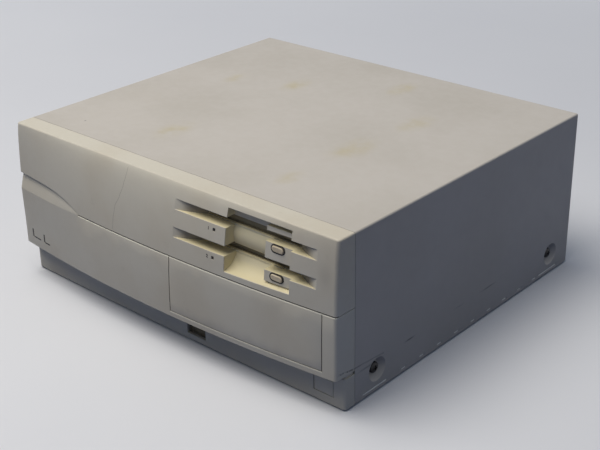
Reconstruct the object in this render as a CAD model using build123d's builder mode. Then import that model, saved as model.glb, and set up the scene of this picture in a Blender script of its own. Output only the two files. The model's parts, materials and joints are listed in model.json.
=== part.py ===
from build123d import *
import math
import os

os.makedirs("parts", exist_ok=True)

# A low desktop computer with a bowed plastic front and a folded steel cover, in millimetres.
# X runs right as seen from the front, Y runs to the back, Z runs up from the table.
# The origin is on the table, under the middle of the case.

# Case
width = 380.0
depth = 351.0
height = 150.0
foot_height = 1.6
wall = 2.5
sheet = 1.0
gap = 0.4

# Bowed front: how far it swells ahead of the straight top edge, in its middle and at its ends
bow = 16.0
end_bow = 4.6
corner_radius = 3.0
top_round = 1.5
mask_depth = 17.5

front_y = -depth / 2
rear_y = depth / 2
brow_y = front_y + bow
mask_back_y = brow_y + mask_depth
reach = width / 2 + 2

# Front seams
seam_z = 88.0
seam_gap = 0.5
swoosh_z = 103.2
swoosh_x = -98.3
mask_bottom_z = 32.7
rail_top_z = 29.4
rail_neck = 1.5
rail_bow = 1.7
rail_front_y = brow_y + 6.0

# Disk drives, one above the other
drive_x = 101.0
drive_width = 101.6
drive_height = 22.0
drive_length = 140.0
drive_front_y = brow_y + 6.3
drive_back_y = drive_front_y + drive_length
drive_left_x = drive_x - drive_width / 2
drive_right_x = drive_x + drive_width / 2
hub_y = drive_front_y + 55
carriage_y = drive_front_y + 96
screw_x = drive_x + 14
track_drop = 5.6
flap_hinge_y = drive_front_y + 2.6
mouth_half = 48.8
flap_half = 48.0
slot_pitch = 23.2
slot_height = 8.6
slot_floors = (129.0, 129.0 - slot_pitch)
slot_left_x = 23.4
slot_right_x = 171.9
throat_left_x = 51.5
throat_right_x = 150.5
recess_wall = 2.0
recess_back_y = brow_y + 4.0

# Finger recess in front of the drives
recess_left_x = 81.0
recess_right_x = 146.3
recess_top_z = 145.2
recess_foot_z = 93.4
block_left_x = 119.5
block_inset = 3.0
block_drop = 9.2
tab_height = 3.6
step_x = 129.3

# Eject buttons and lamps
button_x = 131.9
button_drop = 3.7
button_width = 12.0
button_height = 5.2
button_clearance = 0.6
lamp_x = 69.0
lamp_drop = 4.6
lamp_size = 2.4

# File bay
bay_left_x = 19.7
bay_right_x = 177.2
bay_bottom_z = 37.5

# Chassis
pan_half = 184.2
pan_floor_z = 2.8
pan_sheet = 1.2
pan_wall_z = 38.0
pan_front_y = mask_back_y + 1.6
panel_y = rear_y - 5.2

# Cover screws
screw_ys = (brow_y + 45.5, brow_y + 304.5)
screw_z = 20.6
dish_radius = 10.5
dish_floor_radius = 6.4
dish_depth = 4.6
screw_shank = 2.0
screw_hole = 2.3

# Lamp windows of the lower bezel
panel_lamp_xs = (-176.4, -157.4)
panel_lamp_z = 45.6
panel_lamp_width = 1.8
panel_lamp_height = 8.0

# Power button and keyboard socket in the front rail
power_x = 168.5
power_z = 16.2
power_width = 19.4
power_height = 13.8
power_front_y = rail_front_y - 0.4
power_stem = 6.0
switch_front_y = pan_front_y + pan_sheet + 0.2
keyboard_x = 28.0
keyboard_z = 14.0
keyboard_width = 22.0
keyboard_height = 14.6

# Rear corner: power supply with its fan, to the right as seen from the front
supply_x = (62.0, 177.0)
supply_y = (4.0, panel_y - 0.3)
supply_z = (6.0, 143.0)
fan_x = 122.0
fan_z = 96.0
fan_size = 80.0
fan_depth = 25.0
fan_bore = 38.0
inlet_x = 92.0
outlet_x = 142.0
inlet_z = 30.0

# Expansion cards, to the left
cage_x = (-181.0, -14.0)
cage_y = (4.0, panel_y - 0.3)
cage_z = (42.0, 144.8)
slot_screw_x = -173.5
card_pitch = 24.0
card_levels = [56.0 + card_pitch * level for level in range(4)]

# Main board, and the ports along its rear edge: middle, width and height of each opening
board_z = 12.0
board_thickness = 1.6
board_width = 196.0
board_length = 290.0
board_left_x = -180.0
board_front_y = pan_front_y + 16
board_middle_x = board_left_x + board_width / 2
board_middle_y = board_front_y + board_length / 2
board_top_z = board_z + board_thickness + 0.02
port_sizes = {
    "serial_port": (-150.0, 39.0, 12.5),
    "printer_port": (-93.0, 42.0, 11.0),
    "display_port": (-40.0, 31.0, 12.5),
    "mouse_port": (-5.0, 14.0, 13.0),
}


def save(part, label):
    """Name a finished piece and write its file."""
    part.label = label
    export_step(part, f"parts/{label}.step")


def front_plane(y):
    """Upright plane across the case at one depth: its normal looks to the front."""
    return Plane.XZ.offset(-y)


def side_plane(x):
    """Upright plane along the case: its first axis runs to the back."""
    return Plane.YZ.offset(x)


def between(low, high):
    """Middle and length of a span."""
    return (low + high) / 2, high - low


def brick(x, y, z, mode=Mode.ADD):
    """A plain block between two limits along each axis."""
    (mid_x, size_x), (mid_y, size_y), (mid_z, size_z) = between(*x), between(*y), between(*z)
    with Locations((mid_x, mid_y, mid_z)):
        Box(size_x, size_y, size_z, mode=mode)


# ---------------------------------------------------------------- the bowed front

def swell(z):
    """Share of the full bow that the front has at a height: none at the top, all at the bottom."""
    drop = min(1.0, max(0.0, height - z) / (height - mask_bottom_z))
    return max(0.02, (1 - (1 - drop) ** 2) ** 0.65)


def face_y(x, z):
    """Where the front surface lies."""
    across = 1 - (2 * x / width) ** 2
    return brow_y - swell(z) * (end_bow + (bow - end_bow) * across)


def front_form(low, high, inset=0.0, lean=0.0):
    """Block behind the bowed front surface, drawn in by inset. A lean tilts it back above low."""
    rows = []
    for step in range(19):
        # rows crowd towards the top, where the surface turns over fastest
        z = height - (height - mask_bottom_z) * (1 - step / 18) ** 2
        xs = [reach * (column / 3 - 1) for column in range(7)]
        tilt = lean * (z - low)
        rows.append([Vector(x, face_y(x, z) + inset + tilt, z) for x in xs])
    half = width / 2 - inset
    back_y = mask_back_y + (2.0 if inset else 0.0)
    with BuildPart() as form:
        extrude(Face.make_surface_from_array_of_points(rows, tol=0.001), amount=60, dir=(0, 1, 0))
        brick((-half, half), (front_y - 20, back_y), (low, high), Mode.INTERSECT)
        if not inset:
            corners = form.edges().filter_by(lambda edge: abs(edge.center().X) > half - 0.1)
            upright = corners.filter_by(lambda edge: edge.bounding_box().size.Z > (high - low) / 2)
            fillet(upright.filter_by(lambda edge: edge.center().Y < back_y - 1), corner_radius)
        if high == height and not inset:
            rim = form.faces().sort_by(Axis.Z)[-1].edges()
            fillet(rim.filter_by(lambda edge: edge.center().Y < back_y - 1), top_round)
    return form.part


def above_seam(shift=0.0):
    """Front view of all that lies above the seam, which sweeps up to the left end."""
    with BuildSketch(Plane.XZ) as region:
        with BuildLine():
            Spline(
                (-reach, swoosh_z - shift),
                (-155.0, swoosh_z - 1.3 - shift),
                (-121.0, swoosh_z - 6.0 - shift),
                (swoosh_x, seam_z - shift),
            )
            Polyline(
                (swoosh_x, seam_z - shift),
                (reach, seam_z - shift),
                (reach, height + 5),
                (-reach, height + 5),
                (-reach, swoosh_z - shift),
            )
        make_face()
    return region.sketch


def slot_pocket(floor_z, grow=0.0):
    """One disk slot: a flat-floored scoop that runs out to nothing at both ends."""
    left_end = (throat_left_x - grow, recess_back_y + grow)
    right_end = (throat_right_x + grow, recess_back_y + grow)
    with BuildPart() as pocket:
        for level in (floor_z - grow, floor_z + slot_height + grow):
            # both tips follow the lean just ahead of the face, so that floor and roof run out together
            left_tip = (slot_left_x - grow, face_y(slot_left_x, level) - 0.2)
            right_tip = (slot_right_x + grow, face_y(slot_right_x, level) - 0.2)
            with BuildSketch(Plane.XY.offset(level)):
                with BuildLine():
                    Polyline((left_tip[0], front_y - 5), left_tip)
                    RadiusArc(left_tip, left_end, -88)
                    Line(left_end, right_end)
                    RadiusArc(right_end, right_tip, -96)
                    Polyline(right_tip, (right_tip[0], front_y - 5), (left_tip[0], front_y - 5))
                make_face()
        loft(ruled=True)
    return pocket.part


def finger_recess(grow=0.0):
    """The pocket for finger and thumb, with a floor that sweeps down and out to the face."""
    back_y = recess_back_y + grow
    lip_y = face_y(between(recess_left_x, recess_right_x)[0], recess_foot_z)
    ramp_top_z = slot_floors[1] - 1.5
    ramp_middle = ((back_y + lip_y) / 2 + 1.5, (ramp_top_z + recess_foot_z) / 2 - 1.5 - grow)
    with BuildPart() as recess:
        with BuildSketch(side_plane(recess_left_x - grow)):
            with BuildLine():
                Polyline(
                    (lip_y - 8, recess_foot_z - grow - 2),
                    (lip_y - 8, recess_top_z + grow),
                    (back_y, recess_top_z + grow),
                    (back_y, ramp_top_z - grow),
                )
                ThreePointArc((back_y, ramp_top_z - grow), ramp_middle, (lip_y, recess_foot_z - grow))
                Line((lip_y, recess_foot_z - grow), (lip_y - 8, recess_foot_z - grow - 2))
            make_face()
        extrude(amount=recess_right_x - recess_left_x + 2 * grow)
    return recess.part


def pocket_lining(under_skin):
    """Walls that line the slots and the recess, and the flange along the seam."""
    with BuildPart() as lining:
        add(finger_recess(recess_wall))
        for floor_z in slot_floors:
            add(slot_pocket(floor_z, recess_wall))
        brick((swoosh_x + 1, width / 2 - 1), (front_y, brow_y + 3), (seam_z, seam_z + 2))
        add(under_skin, mode=Mode.INTERSECT)
    return lining.part


def upper_bezel():
    """Upper half of the front: shell, drive slots, finger recess, button blocks, lamp windows."""
    outer = front_form(mask_bottom_z, height)
    inner = front_form(seam_z - 4, height - wall, wall)
    under_skin = front_form(mask_bottom_z, height - 1, 1.0)
    block_skin = front_form(mask_bottom_z, height, block_inset)
    with BuildPart() as blocks:
        block_x = (block_left_x, recess_right_x + 0.5)
        block_y = (front_y, recess_back_y + recess_wall)
        # a tab over the upper slot, and a block with a button under each slot
        tab_foot_z = slot_floors[0] + slot_height
        brick(block_x, block_y, (tab_foot_z, tab_foot_z + tab_height))
        brick(block_x, block_y, (slot_floors[1] + slot_height + 1.2, slot_floors[0]))
        brick(block_x, block_y, (slot_floors[1] - block_drop, slot_floors[1]))
        add(block_skin, mode=Mode.INTERSECT)
    with BuildPart() as bezel:
        add(outer)
        extrude(above_seam(), amount=depth, both=True, mode=Mode.INTERSECT)
        add(inner, mode=Mode.SUBTRACT)
        add(pocket_lining(under_skin))
        add(finger_recess(), mode=Mode.SUBTRACT)
        for floor_z in slot_floors:
            add(slot_pocket(floor_z), mode=Mode.SUBTRACT)
        # rounded bar between the two slots
        bar_top = slot_floors[0] - 1.3
        bar_foot = slot_floors[1] + slot_height - 2.7
        bar_middle = (recess_back_y - 2.8, (bar_top + bar_foot) / 2)
        with BuildSketch(side_plane(recess_left_x)):
            with BuildLine():
                ThreePointArc((recess_back_y, bar_foot), bar_middle, (recess_back_y, bar_top))
                Polyline(
                    (recess_back_y, bar_top),
                    (recess_back_y + recess_wall, bar_top),
                    (recess_back_y + recess_wall, bar_foot),
                    (recess_back_y, bar_foot),
                )
            make_face()
        extrude(amount=block_left_x - recess_left_x + 0.5)
        add(blocks.part)
        for floor_z in slot_floors:
            # throat for the disk, button hole and lamp window of this drive
            throat_z = (floor_z + 0.6, floor_z + slot_height - 0.6)
            throat_y = (recess_back_y - 1, recess_back_y + recess_wall + 1)
            brick((throat_left_x + 0.5, throat_right_x - 0.5), throat_y, throat_z, Mode.SUBTRACT)
            brick((step_x, throat_right_x - 0.5), throat_y, (floor_z, throat_z[1]), Mode.SUBTRACT)
            with BuildSketch(front_plane(recess_back_y + recess_wall + 1)):
                with Locations((button_x, floor_z - button_drop)):
                    SlotOverall(
                        button_width + 2 * button_clearance, button_height + 2 * button_clearance
                    )
                with Locations((lamp_x, floor_z - lamp_drop)):
                    Rectangle(lamp_size + 0.3, lamp_size + 0.3)
            extrude(amount=depth / 8, mode=Mode.SUBTRACT)
    save(bezel.part, "upper_bezel")


def lower_bezel():
    """Lower half of the front: a shell with a lit shelf under the swoosh and a file bay opening."""
    shelf_lean = 0.22
    outer = front_form(mask_bottom_z, seam_z)
    inner = front_form(mask_bottom_z + wall, seam_z - seam_gap - wall, wall)
    shelf = front_form(seam_z, swoosh_z + 2, 0.0, shelf_lean)
    shelf_inner = front_form(seam_z - 4, swoosh_z + 2, wall, shelf_lean)
    whole_y = (front_y - 5, rear_y)
    with BuildPart() as shelf_core:
        add(shelf_inner)
        extrude(above_seam(seam_gap + wall), amount=depth, both=True, mode=Mode.SUBTRACT)
        brick((swoosh_x - 8, reach), whole_y, (seam_z - 6, height), Mode.SUBTRACT)
    with BuildPart() as bezel:
        add(outer)
        add(shelf)
        brick((swoosh_x - 1, reach), whole_y, (seam_z - seam_gap, height), Mode.SUBTRACT)
        extrude(above_seam(seam_gap), amount=depth, both=True, mode=Mode.SUBTRACT)
        add(inner, mode=Mode.SUBTRACT)
        add(shelf_core.part, mode=Mode.SUBTRACT)
        # opening for the file bay cover
        brick((bay_left_x, bay_right_x), whole_y, (bay_bottom_z, seam_z + 1), Mode.SUBTRACT)
    with BuildPart() as walls:
        # side walls and sill of the file bay
        wall_y = (front_y, brow_y + 12)
        for wall_x in (bay_left_x - wall, bay_right_x):
            brick((wall_x, wall_x + wall), wall_y, (mask_bottom_z + 1, seam_z - seam_gap))
        sill_y = (front_y, brow_y + 9)
        brick((bay_left_x, bay_right_x), sill_y, (mask_bottom_z + 0.6, bay_bottom_z))
        add(front_form(mask_bottom_z, seam_z, 1.0), mode=Mode.INTERSECT)
    with BuildPart() as finished:
        add(bezel.part)
        add(walls.part)
        # windows of the two lamps at the left
        with BuildSketch(front_plane(mask_back_y)):
            for window_x in panel_lamp_xs:
                with Locations((window_x, panel_lamp_z)):
                    Rectangle(panel_lamp_width + 0.2, panel_lamp_height + 0.2)
        extrude(amount=depth / 8, mode=Mode.SUBTRACT)
    save(finished.part, "lower_bezel")


def file_bay_cover():
    """Removable panel over the file bay, with a rim and two spring tongues."""
    cover_x = (bay_left_x + gap, bay_right_x - gap)
    cover_z = (bay_bottom_z + gap, seam_z - seam_gap)
    rim = 2.0
    core_x = (cover_x[0] + rim, cover_x[1] - rim)
    core_z = (cover_z[0] + rim, cover_z[1] - rim)
    with BuildPart() as hollow:
        brick(core_x, (front_y - 1, rear_y), core_z)
        add(front_form(mask_bottom_z + 1, seam_z - 1, wall), mode=Mode.INTERSECT)
    with BuildPart() as cover:
        brick(cover_x, (front_y - 1, brow_y + 2), cover_z)
        add(front_form(mask_bottom_z, seam_z), mode=Mode.INTERSECT)
        add(hollow.part, mode=Mode.SUBTRACT)
        # tongues that spring against the bay's side walls
        for tongue_x in (cover_x[0] + 0.6, cover_x[1] - 2.0):
            with BuildSketch(Plane.XY.offset(between(*cover_z)[0] - 8)):
                with BuildLine():
                    Polyline(
                        (tongue_x, brow_y + 1),
                        (tongue_x + 1.4, brow_y + 1),
                        (tongue_x + 1.4, brow_y + 11),
                        (tongue_x, brow_y + 9),
                        close=True,
                    )
                make_face()
            extrude(amount=16)
    save(cover.part, "file_bay_cover")


def rail_outline(z, inset):
    """Plan of the front rail, drawn in by inset."""
    half = width / 2 - inset
    end_y = rail_front_y + inset
    back_y = mask_back_y + (2 * inset if inset == wall else 0)
    with BuildSketch(Plane.XY.offset(z)) as plan:
        with BuildLine():
            ThreePointArc((-half, end_y), (0, end_y - rail_bow), (half, end_y))
            Polyline((half, end_y), (half, back_y), (-half, back_y), (-half, end_y))
        make_face()
        fillet(plan.vertices().group_by(Axis.Y)[0], max(corner_radius - inset, 0.6))
    return plan.sketch


def front_rail():
    """Set-back strip along the foot of the front, with the power button and keyboard openings."""
    with BuildPart() as rail:
        extrude(rail_outline(foot_height, 0), amount=rail_top_z - foot_height)
        # a narrower neck closes the space below the bowed front
        extrude(rail_outline(rail_top_z, rail_neck), amount=mask_bottom_z - 0.3 - rail_top_z)
        extrude(rail_outline(foot_height, wall), amount=rail_top_z - wall - foot_height, mode=Mode.SUBTRACT)
        with BuildSketch(front_plane(mask_back_y)):
            with Locations((power_x, power_z)):
                Rectangle(power_width + 2 * gap, power_height + 2 * gap)
            with Locations((keyboard_x, keyboard_z)):
                Rectangle(keyboard_width, keyboard_height)
        extrude(amount=depth / 8, mode=Mode.SUBTRACT)
    save(rail.part, "front_rail")


def power_button():
    """Square push button on a long square stem that reaches into the switch."""
    stem_end_y = switch_front_y + 2
    with BuildPart() as button:
        with BuildSketch(front_plane(power_front_y + 6)):
            with Locations((power_x, power_z)):
                Rectangle(power_width, power_height)
        extrude(amount=6)
        chamfer(button.faces().sort_by(Axis.Y)[0].edges(), 0.5)
        with BuildSketch(front_plane(stem_end_y)):
            with Locations((power_x, power_z)):
                Rectangle(power_stem, power_stem)
        extrude(amount=stem_end_y - power_front_y - 5.5)
    save(button.part, "power_button")


def power_switch():
    """Mains switch body behind the chassis front, with the guide of its stem and its terminals."""
    switch_back_y = switch_front_y + 22.6
    with BuildPart() as switch:
        with BuildSketch(front_plane(switch_back_y)):
            with Locations((power_x, power_z + 1)):
                Rectangle(24, 17)
        extrude(amount=switch_back_y - switch_front_y)
        with BuildSketch(front_plane(switch_front_y + 7)):
            with Locations((power_x, power_z)):
                Rectangle(power_stem + 1, power_stem + 1)
        extrude(amount=8, mode=Mode.SUBTRACT)
        with BuildSketch(front_plane(switch_back_y)):
            with Locations((power_x, power_z + 1)):
                with GridLocations(12, 8, 2, 2):
                    Rectangle(0.8, 4)
        extrude(amount=-7)
    save(switch.part, "power_switch")


def keyboard_socket():
    """Round keyboard socket in a square housing."""
    socket_front_y = rail_front_y + 4.5
    with BuildPart() as socket:
        with BuildSketch(front_plane(socket_front_y + 13)):
            with Locations((keyboard_x, keyboard_z)):
                Rectangle(keyboard_width - 4, keyboard_height + 1)
        extrude(amount=13)
        chamfer(socket.faces().sort_by(Axis.Y)[0].edges(), 0.6)
        with BuildSketch(front_plane(socket_front_y)):
            with Locations((keyboard_x, keyboard_z)):
                Circle(4.8)
                Circle(3.4, mode=Mode.SUBTRACT)
        extrude(amount=-8, mode=Mode.SUBTRACT)
        with BuildSketch(front_plane(socket_front_y)):
            with Locations((keyboard_x, keyboard_z)):
                Circle(3.4)
        extrude(amount=-1.2, mode=Mode.SUBTRACT)
    save(socket.part, "keyboard_socket")


def panel_lamps():
    """Two thin upright lamp windows at the lower left, each with a flange behind the wall."""
    for label, window_x in zip(("power_lamp", "disk_lamp"), panel_lamp_xs):
        surface_y = face_y(window_x, panel_lamp_z)
        flange_y = surface_y + wall + 2
        with BuildPart() as lens:
            with BuildSketch(front_plane(flange_y)):
                with Locations((window_x, panel_lamp_z)):
                    Rectangle(panel_lamp_width - 0.1, panel_lamp_height - 0.1)
            extrude(amount=flange_y - surface_y - 0.4)
            with BuildSketch(front_plane(flange_y)):
                with Locations((window_x, panel_lamp_z)):
                    Rectangle(panel_lamp_width + 3, panel_lamp_height + 3)
            extrude(amount=1.5)
        save(lens.part, label)


# ---------------------------------------------------------------- steel cover and chassis

def top_cover():
    """Steel sheet folded down both sides, with dished screw seats and hooks along the bottom."""
    front_edge_y = mask_back_y + gap
    length = rear_y - front_edge_y
    bottom_z = foot_height
    with BuildPart() as cover:
        with BuildSketch(front_plane(rear_y)) as profile:
            with Locations((0, (bottom_z + height) / 2)):
                Rectangle(width, height - bottom_z)
            fillet(profile.vertices().group_by(Axis.Y)[-1], 1.6)
            with Locations((0, (bottom_z + height) / 2 - sheet)):
                Rectangle(width - 2 * sheet, height - bottom_z, mode=Mode.SUBTRACT)
            # hems turned in along the bottom
            for side in (-1, 1):
                with Locations((side * (width / 2 - 4), bottom_z + sheet / 2)):
                    Rectangle(8, sheet)
        extrude(amount=length)
        for side in (-1, 1):
            for screw_y in screw_ys:
                # each seat is pressed inwards to a flat floor with a screw hole
                with Locations(Location((side * width / 2, screw_y, screw_z), (0, -90 * side, 0))):
                    seat_slope = (dish_radius - dish_floor_radius) / dish_depth
                    outer_radius = dish_radius + sheet * 0.6
                    with Locations((0, 0, sheet)):
                        Cone(
                            outer_radius, outer_radius - seat_slope * dish_depth, dish_depth,
                            align=(Align.CENTER, Align.CENTER, Align.MIN),
                        )
                    Cone(
                        dish_radius, dish_floor_radius, dish_depth,
                        align=(Align.CENTER, Align.CENTER, Align.MIN), mode=Mode.SUBTRACT,
                    )
                    Cylinder(screw_hole, 2 * (dish_depth + 3), mode=Mode.SUBTRACT)
            # lanced hooks: a long one under each seat and a row of short ones between
            hooks = [(screw_y - 3, 30.0) for screw_y in screw_ys]
            hooks += [(brow_y + 80 + 24.75 * place, 6.0) for place in range(9)]
            for hook_y, hook_length in hooks:
                with BuildSketch(front_plane(hook_y + hook_length / 2)):
                    with BuildLine():
                        Polyline(
                            (side * (width / 2 + 1), bottom_z + 2.4),
                            (side * (width / 2), bottom_z + 2.4),
                            (side * (width / 2 - 1.4), bottom_z + 4.2),
                            (side * (width / 2 + 1), bottom_z + 4.2),
                            close=True,
                        )
                    make_face()
                extrude(amount=hook_length, mode=Mode.SUBTRACT)
                with BuildSketch(front_plane(hook_y + hook_length / 2)):
                    with BuildLine():
                        Polyline(
                            (side * (width / 2 - 0.2), bottom_z + 2.4),
                            (side * (width / 2 - 1.6), bottom_z + 4.2),
                            (side * (width / 2 - 2.2), bottom_z + 4.2),
                            (side * (width / 2 - 1.0), bottom_z + 2.4),
                            close=True,
                        )
                    make_face()
                extrude(amount=hook_length)
    save(cover.part, "top_cover")


def cover_screws():
    """Four domed black screws in the dished seats."""
    with BuildPart() as screws:
        for side in (-1, 1):
            seat_x = side * (width / 2 - dish_depth)
            for screw_y in screw_ys:
                with BuildSketch(Plane.XZ.offset(-screw_y)):
                    with BuildLine():
                        Polyline(
                            (seat_x + side * 3.1, screw_z),
                            (seat_x + side * 2.6, screw_z + 3.2),
                            (seat_x + side * 0.1, screw_z + 5.0),
                            (seat_x + side * 0.1, screw_z + screw_shank),
                            (seat_x - side * 7, screw_z + screw_shank),
                            (seat_x - side * 7, screw_z),
                            close=True,
                        )
                    make_face()
                revolve(axis=Axis((0, screw_y, screw_z), (1, 0, 0)))
    save(screws.part, "cover_screws")


def feet():
    """Four thin round rubber feet."""
    with BuildPart() as pads:
        with BuildSketch(Plane.XY):
            with GridLocations(2 * 160, 2 * 130, 2, 2):
                Circle(9)
        extrude(amount=pan_floor_z)
    save(pads.part, "feet")


def base_pan():
    """Folded steel tray that carries everything."""
    floor_top_z = pan_floor_z + pan_sheet
    front_wall = (pan_front_y - 1, pan_front_y + pan_sheet)
    with BuildPart() as pan:
        brick((-pan_half, pan_half), (pan_front_y, panel_y - 0.1), (pan_floor_z, pan_wall_z))
        inner_x = (-pan_half + pan_sheet, pan_half - pan_sheet)
        brick(inner_x, (pan_front_y + pan_sheet, rear_y), (floor_top_z, height), Mode.SUBTRACT)
        # the front wall is lower, and opens for the power button and keyboard socket
        brick((-pan_half - 1, pan_half + 1), front_wall, (28, height), Mode.SUBTRACT)
        with BuildSketch(front_plane(pan_front_y + pan_sheet)):
            with Locations((power_x, power_z)):
                Rectangle(power_stem + 4, power_stem + 4)
            with Locations((keyboard_x, keyboard_z)):
                Rectangle(keyboard_width - 3.6, keyboard_height + 1.4)
        extrude(amount=2 * pan_sheet, mode=Mode.SUBTRACT)
        # hexagonal pillars under the main board
        with BuildSketch(Plane.XY.offset(floor_top_z)):
            with Locations((board_middle_x, board_middle_y)):
                with GridLocations(board_width - 16, (board_length - 16) / 2, 2, 3):
                    RegularPolygon(4, 6)
        extrude(amount=board_z - floor_top_z - 0.05)
        # stiffening ribs pressed along the floor
        with BuildSketch(Plane.XY.offset(floor_top_z)):
            with Locations((100, 0)):
                with GridLocations(34, 0, 3, 1):
                    Rectangle(8, 250)
        extrude(amount=1.5, taper=30)
        for side in (-1, 1):
            for screw_y in screw_ys:
                with BuildSketch(Plane.YZ.offset(side * (pan_half + 1))):
                    with Locations((screw_y, screw_z)):
                        Circle(screw_hole)
                extrude(amount=-side * 4, mode=Mode.SUBTRACT)
    save(pan.part, "base_pan")


def rear_panel():
    """Steel rear wall with the fan grille, mains openings, port openings and card slots."""
    panel_top_z = 146.8
    with BuildPart() as panel:
        with BuildSketch(front_plane(panel_y + pan_sheet)):
            with Locations((0, (pan_floor_z + panel_top_z) / 2)):
                Rectangle(2 * 187.0, panel_top_z - pan_floor_z)
            # rings of slots in front of the fan, broken by four spokes
            with Locations((fan_x, fan_z)):
                for ring_radius in (33.0, 24.0, 15.0):
                    Circle(ring_radius + 2.6, mode=Mode.SUBTRACT)
                    Circle(ring_radius - 2.6)
                with PolarLocations(0, 2, start_angle=45, angular_range=90):
                    Rectangle(2.6, 72.4)
            for hole_x in (inlet_x, outlet_x):
                with Locations((hole_x, inlet_z)):
                    Rectangle(28.4, 20.8, mode=Mode.SUBTRACT)
            for middle_x, port_width, port_height in port_sizes.values():
                with Locations((middle_x, board_top_z + port_height / 2 + 0.4)):
                    Rectangle(port_width + 1, port_height + 1, mode=Mode.SUBTRACT)
            for level in card_levels:
                with Locations((between(*cage_x)[0], level)):
                    Rectangle(142, 17, mode=Mode.SUBTRACT)
                with Locations((slot_screw_x, level)):
                    Circle(1.6, mode=Mode.SUBTRACT)
        extrude(amount=pan_sheet)
        # flange turned forward along the top edge
        brick((-186, 186), (panel_y - 8, panel_y + 0.5), (panel_top_z - pan_sheet, panel_top_z))
    save(panel.part, "rear_panel")


def slot_covers():
    """Four blanking plates over the card slots, each with a stiffening bead."""
    middle_x = between(*cage_x)[0]
    with BuildPart() as covers:
        for level in card_levels:
            with BuildSketch(front_plane(panel_y + 2 * pan_sheet)):
                with Locations((middle_x, level)):
                    Rectangle(162, 21)
                with Locations((slot_screw_x, level)):
                    Circle(1.6, mode=Mode.SUBTRACT)
            extrude(amount=pan_sheet - 0.02)
            with BuildSketch(front_plane(panel_y + 2 * pan_sheet)):
                with Locations((middle_x, level)):
                    Rectangle(120, 6)
            extrude(amount=-0.7, taper=25)
    save(covers.part, "slot_covers")


def slot_screws():
    """Four hexagon-headed screws that hold the blanking plates."""
    head_y = panel_y + 2 * pan_sheet
    with BuildPart() as screws:
        for level in card_levels:
            with BuildSketch(front_plane(head_y + 1.6)):
                with Locations((slot_screw_x, level)):
                    RegularPolygon(3.2, 6)
            extrude(amount=1.58)
            with BuildSketch(front_plane(head_y + 0.5)):
                with Locations((slot_screw_x, level)):
                    Circle(1.5)
            extrude(amount=6)
    save(screws.part, "slot_screws")


# ---------------------------------------------------------------- disk drives

def drive_floor(slot_floor):
    """Underside of the drive that serves a slot."""
    return slot_floor - 7.6


def drive_parts(number, slot_floor):
    """All pieces of one drive."""
    disk_z = slot_floor + slot_height / 2
    button_z = slot_floor - button_drop
    drive_frame(number, drive_floor(slot_floor), disk_z, button_z)
    spindle_hub(number, drive_floor(slot_floor))
    head_carriage(number, disk_z)
    lead_screw(number, disk_z - track_drop)
    drive_flap(number, disk_z)
    eject_button(number, button_z)
    drive_lamp(number, slot_floor - lamp_drop)


def drive_frame(number, floor_z, disk_z, button_z):
    """Sheet frame of a drive, with the hub's bearing, the lead screw's posts and its motor can."""
    ceiling_z = floor_z + drive_height
    track_z = disk_z - track_drop
    front_wall = (drive_front_y - 1, drive_front_y + 2)
    inner_x = (drive_left_x + 1, drive_right_x - 1)
    with BuildPart() as frame:
        with BuildSketch(front_plane(drive_back_y)):
            with Locations((drive_x, (floor_z + ceiling_z) / 2)):
                Rectangle(drive_width, drive_height)
                Rectangle(drive_width - 3, drive_height - 2.6, mode=Mode.SUBTRACT)
        extrude(amount=drive_length)
        brick(inner_x, (drive_front_y, drive_front_y + 1.4), (floor_z + 1, ceiling_z - 1))
        brick(inner_x, (drive_back_y - 1.4, drive_back_y), (floor_z + 1, disk_z - 3))
        mouth_x = (drive_x - mouth_half, drive_x + mouth_half)
        brick(mouth_x, front_wall, (disk_z - 3.6, disk_z + 3.6), Mode.SUBTRACT)
        brick((button_x - 5, button_x + 5), front_wall, (button_z - 2, button_z + 2), Mode.SUBTRACT)
        # bearing ring of the hub
        with BuildSketch(Plane.XY.offset(floor_z + 1.3)):
            with Locations((drive_x, hub_y)):
                Circle(5)
        extrude(amount=1.2)
        with BuildSketch(Plane.XY.offset(floor_z - 1)):
            with Locations((drive_x, hub_y)):
                Circle(2.05)
        extrude(amount=6, mode=Mode.SUBTRACT)
        # forked posts that hold the lead screw, and the can of its motor
        for post_y in (carriage_y - 18, drive_back_y - 9):
            post_span = (post_y - 1.5, post_y + 1.5)
            brick((screw_x - 4, screw_x + 4), post_span, (floor_z + 1, track_z + 3))
            brick((screw_x - 1.6, screw_x + 1.6), post_span, (track_z - 1.6, track_z + 4), Mode.SUBTRACT)
        with BuildSketch(front_plane(drive_back_y - 1)):
            with Locations((screw_x, track_z)):
                Circle(5.2)
                Circle(3.9, mode=Mode.SUBTRACT)
        extrude(amount=6.6)
        # notches for the flap's pivots
        with BuildSketch(side_plane(drive_left_x - 1)):
            with Locations((flap_hinge_y, disk_z + 3)):
                Rectangle(1.5, 1.5)
        extrude(amount=drive_width + 2, mode=Mode.SUBTRACT)
    save(frame.part, f"drive_frame_{number}")


def spindle_hub(number, floor_z):
    """Flat rotor of the spindle motor with the hub, drive pin and spindle."""
    with BuildPart() as hub:
        with BuildSketch(Plane.XY.offset(floor_z + 2.6)):
            with Locations((drive_x, hub_y)):
                Circle(23)
        extrude(amount=3.4)
        with BuildSketch(Plane.XY.offset(floor_z + 6)):
            with Locations((drive_x, hub_y)):
                Circle(12.4)
        extrude(amount=1.6)
        # drive pin and centring spigot on the hub, and the spindle below
        with BuildSketch(Plane.XY.offset(floor_z + 7.6)):
            with Locations((drive_x, hub_y)):
                Circle(2)
            with Locations((drive_x + 9, hub_y)):
                Circle(1.1)
        extrude(amount=1.2)
        with BuildSketch(Plane.XY.offset(floor_z + 0.4)):
            with Locations((drive_x, hub_y)):
                Circle(2)
        extrude(amount=2.4)
    save(hub.part, f"spindle_hub_{number}")


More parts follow.
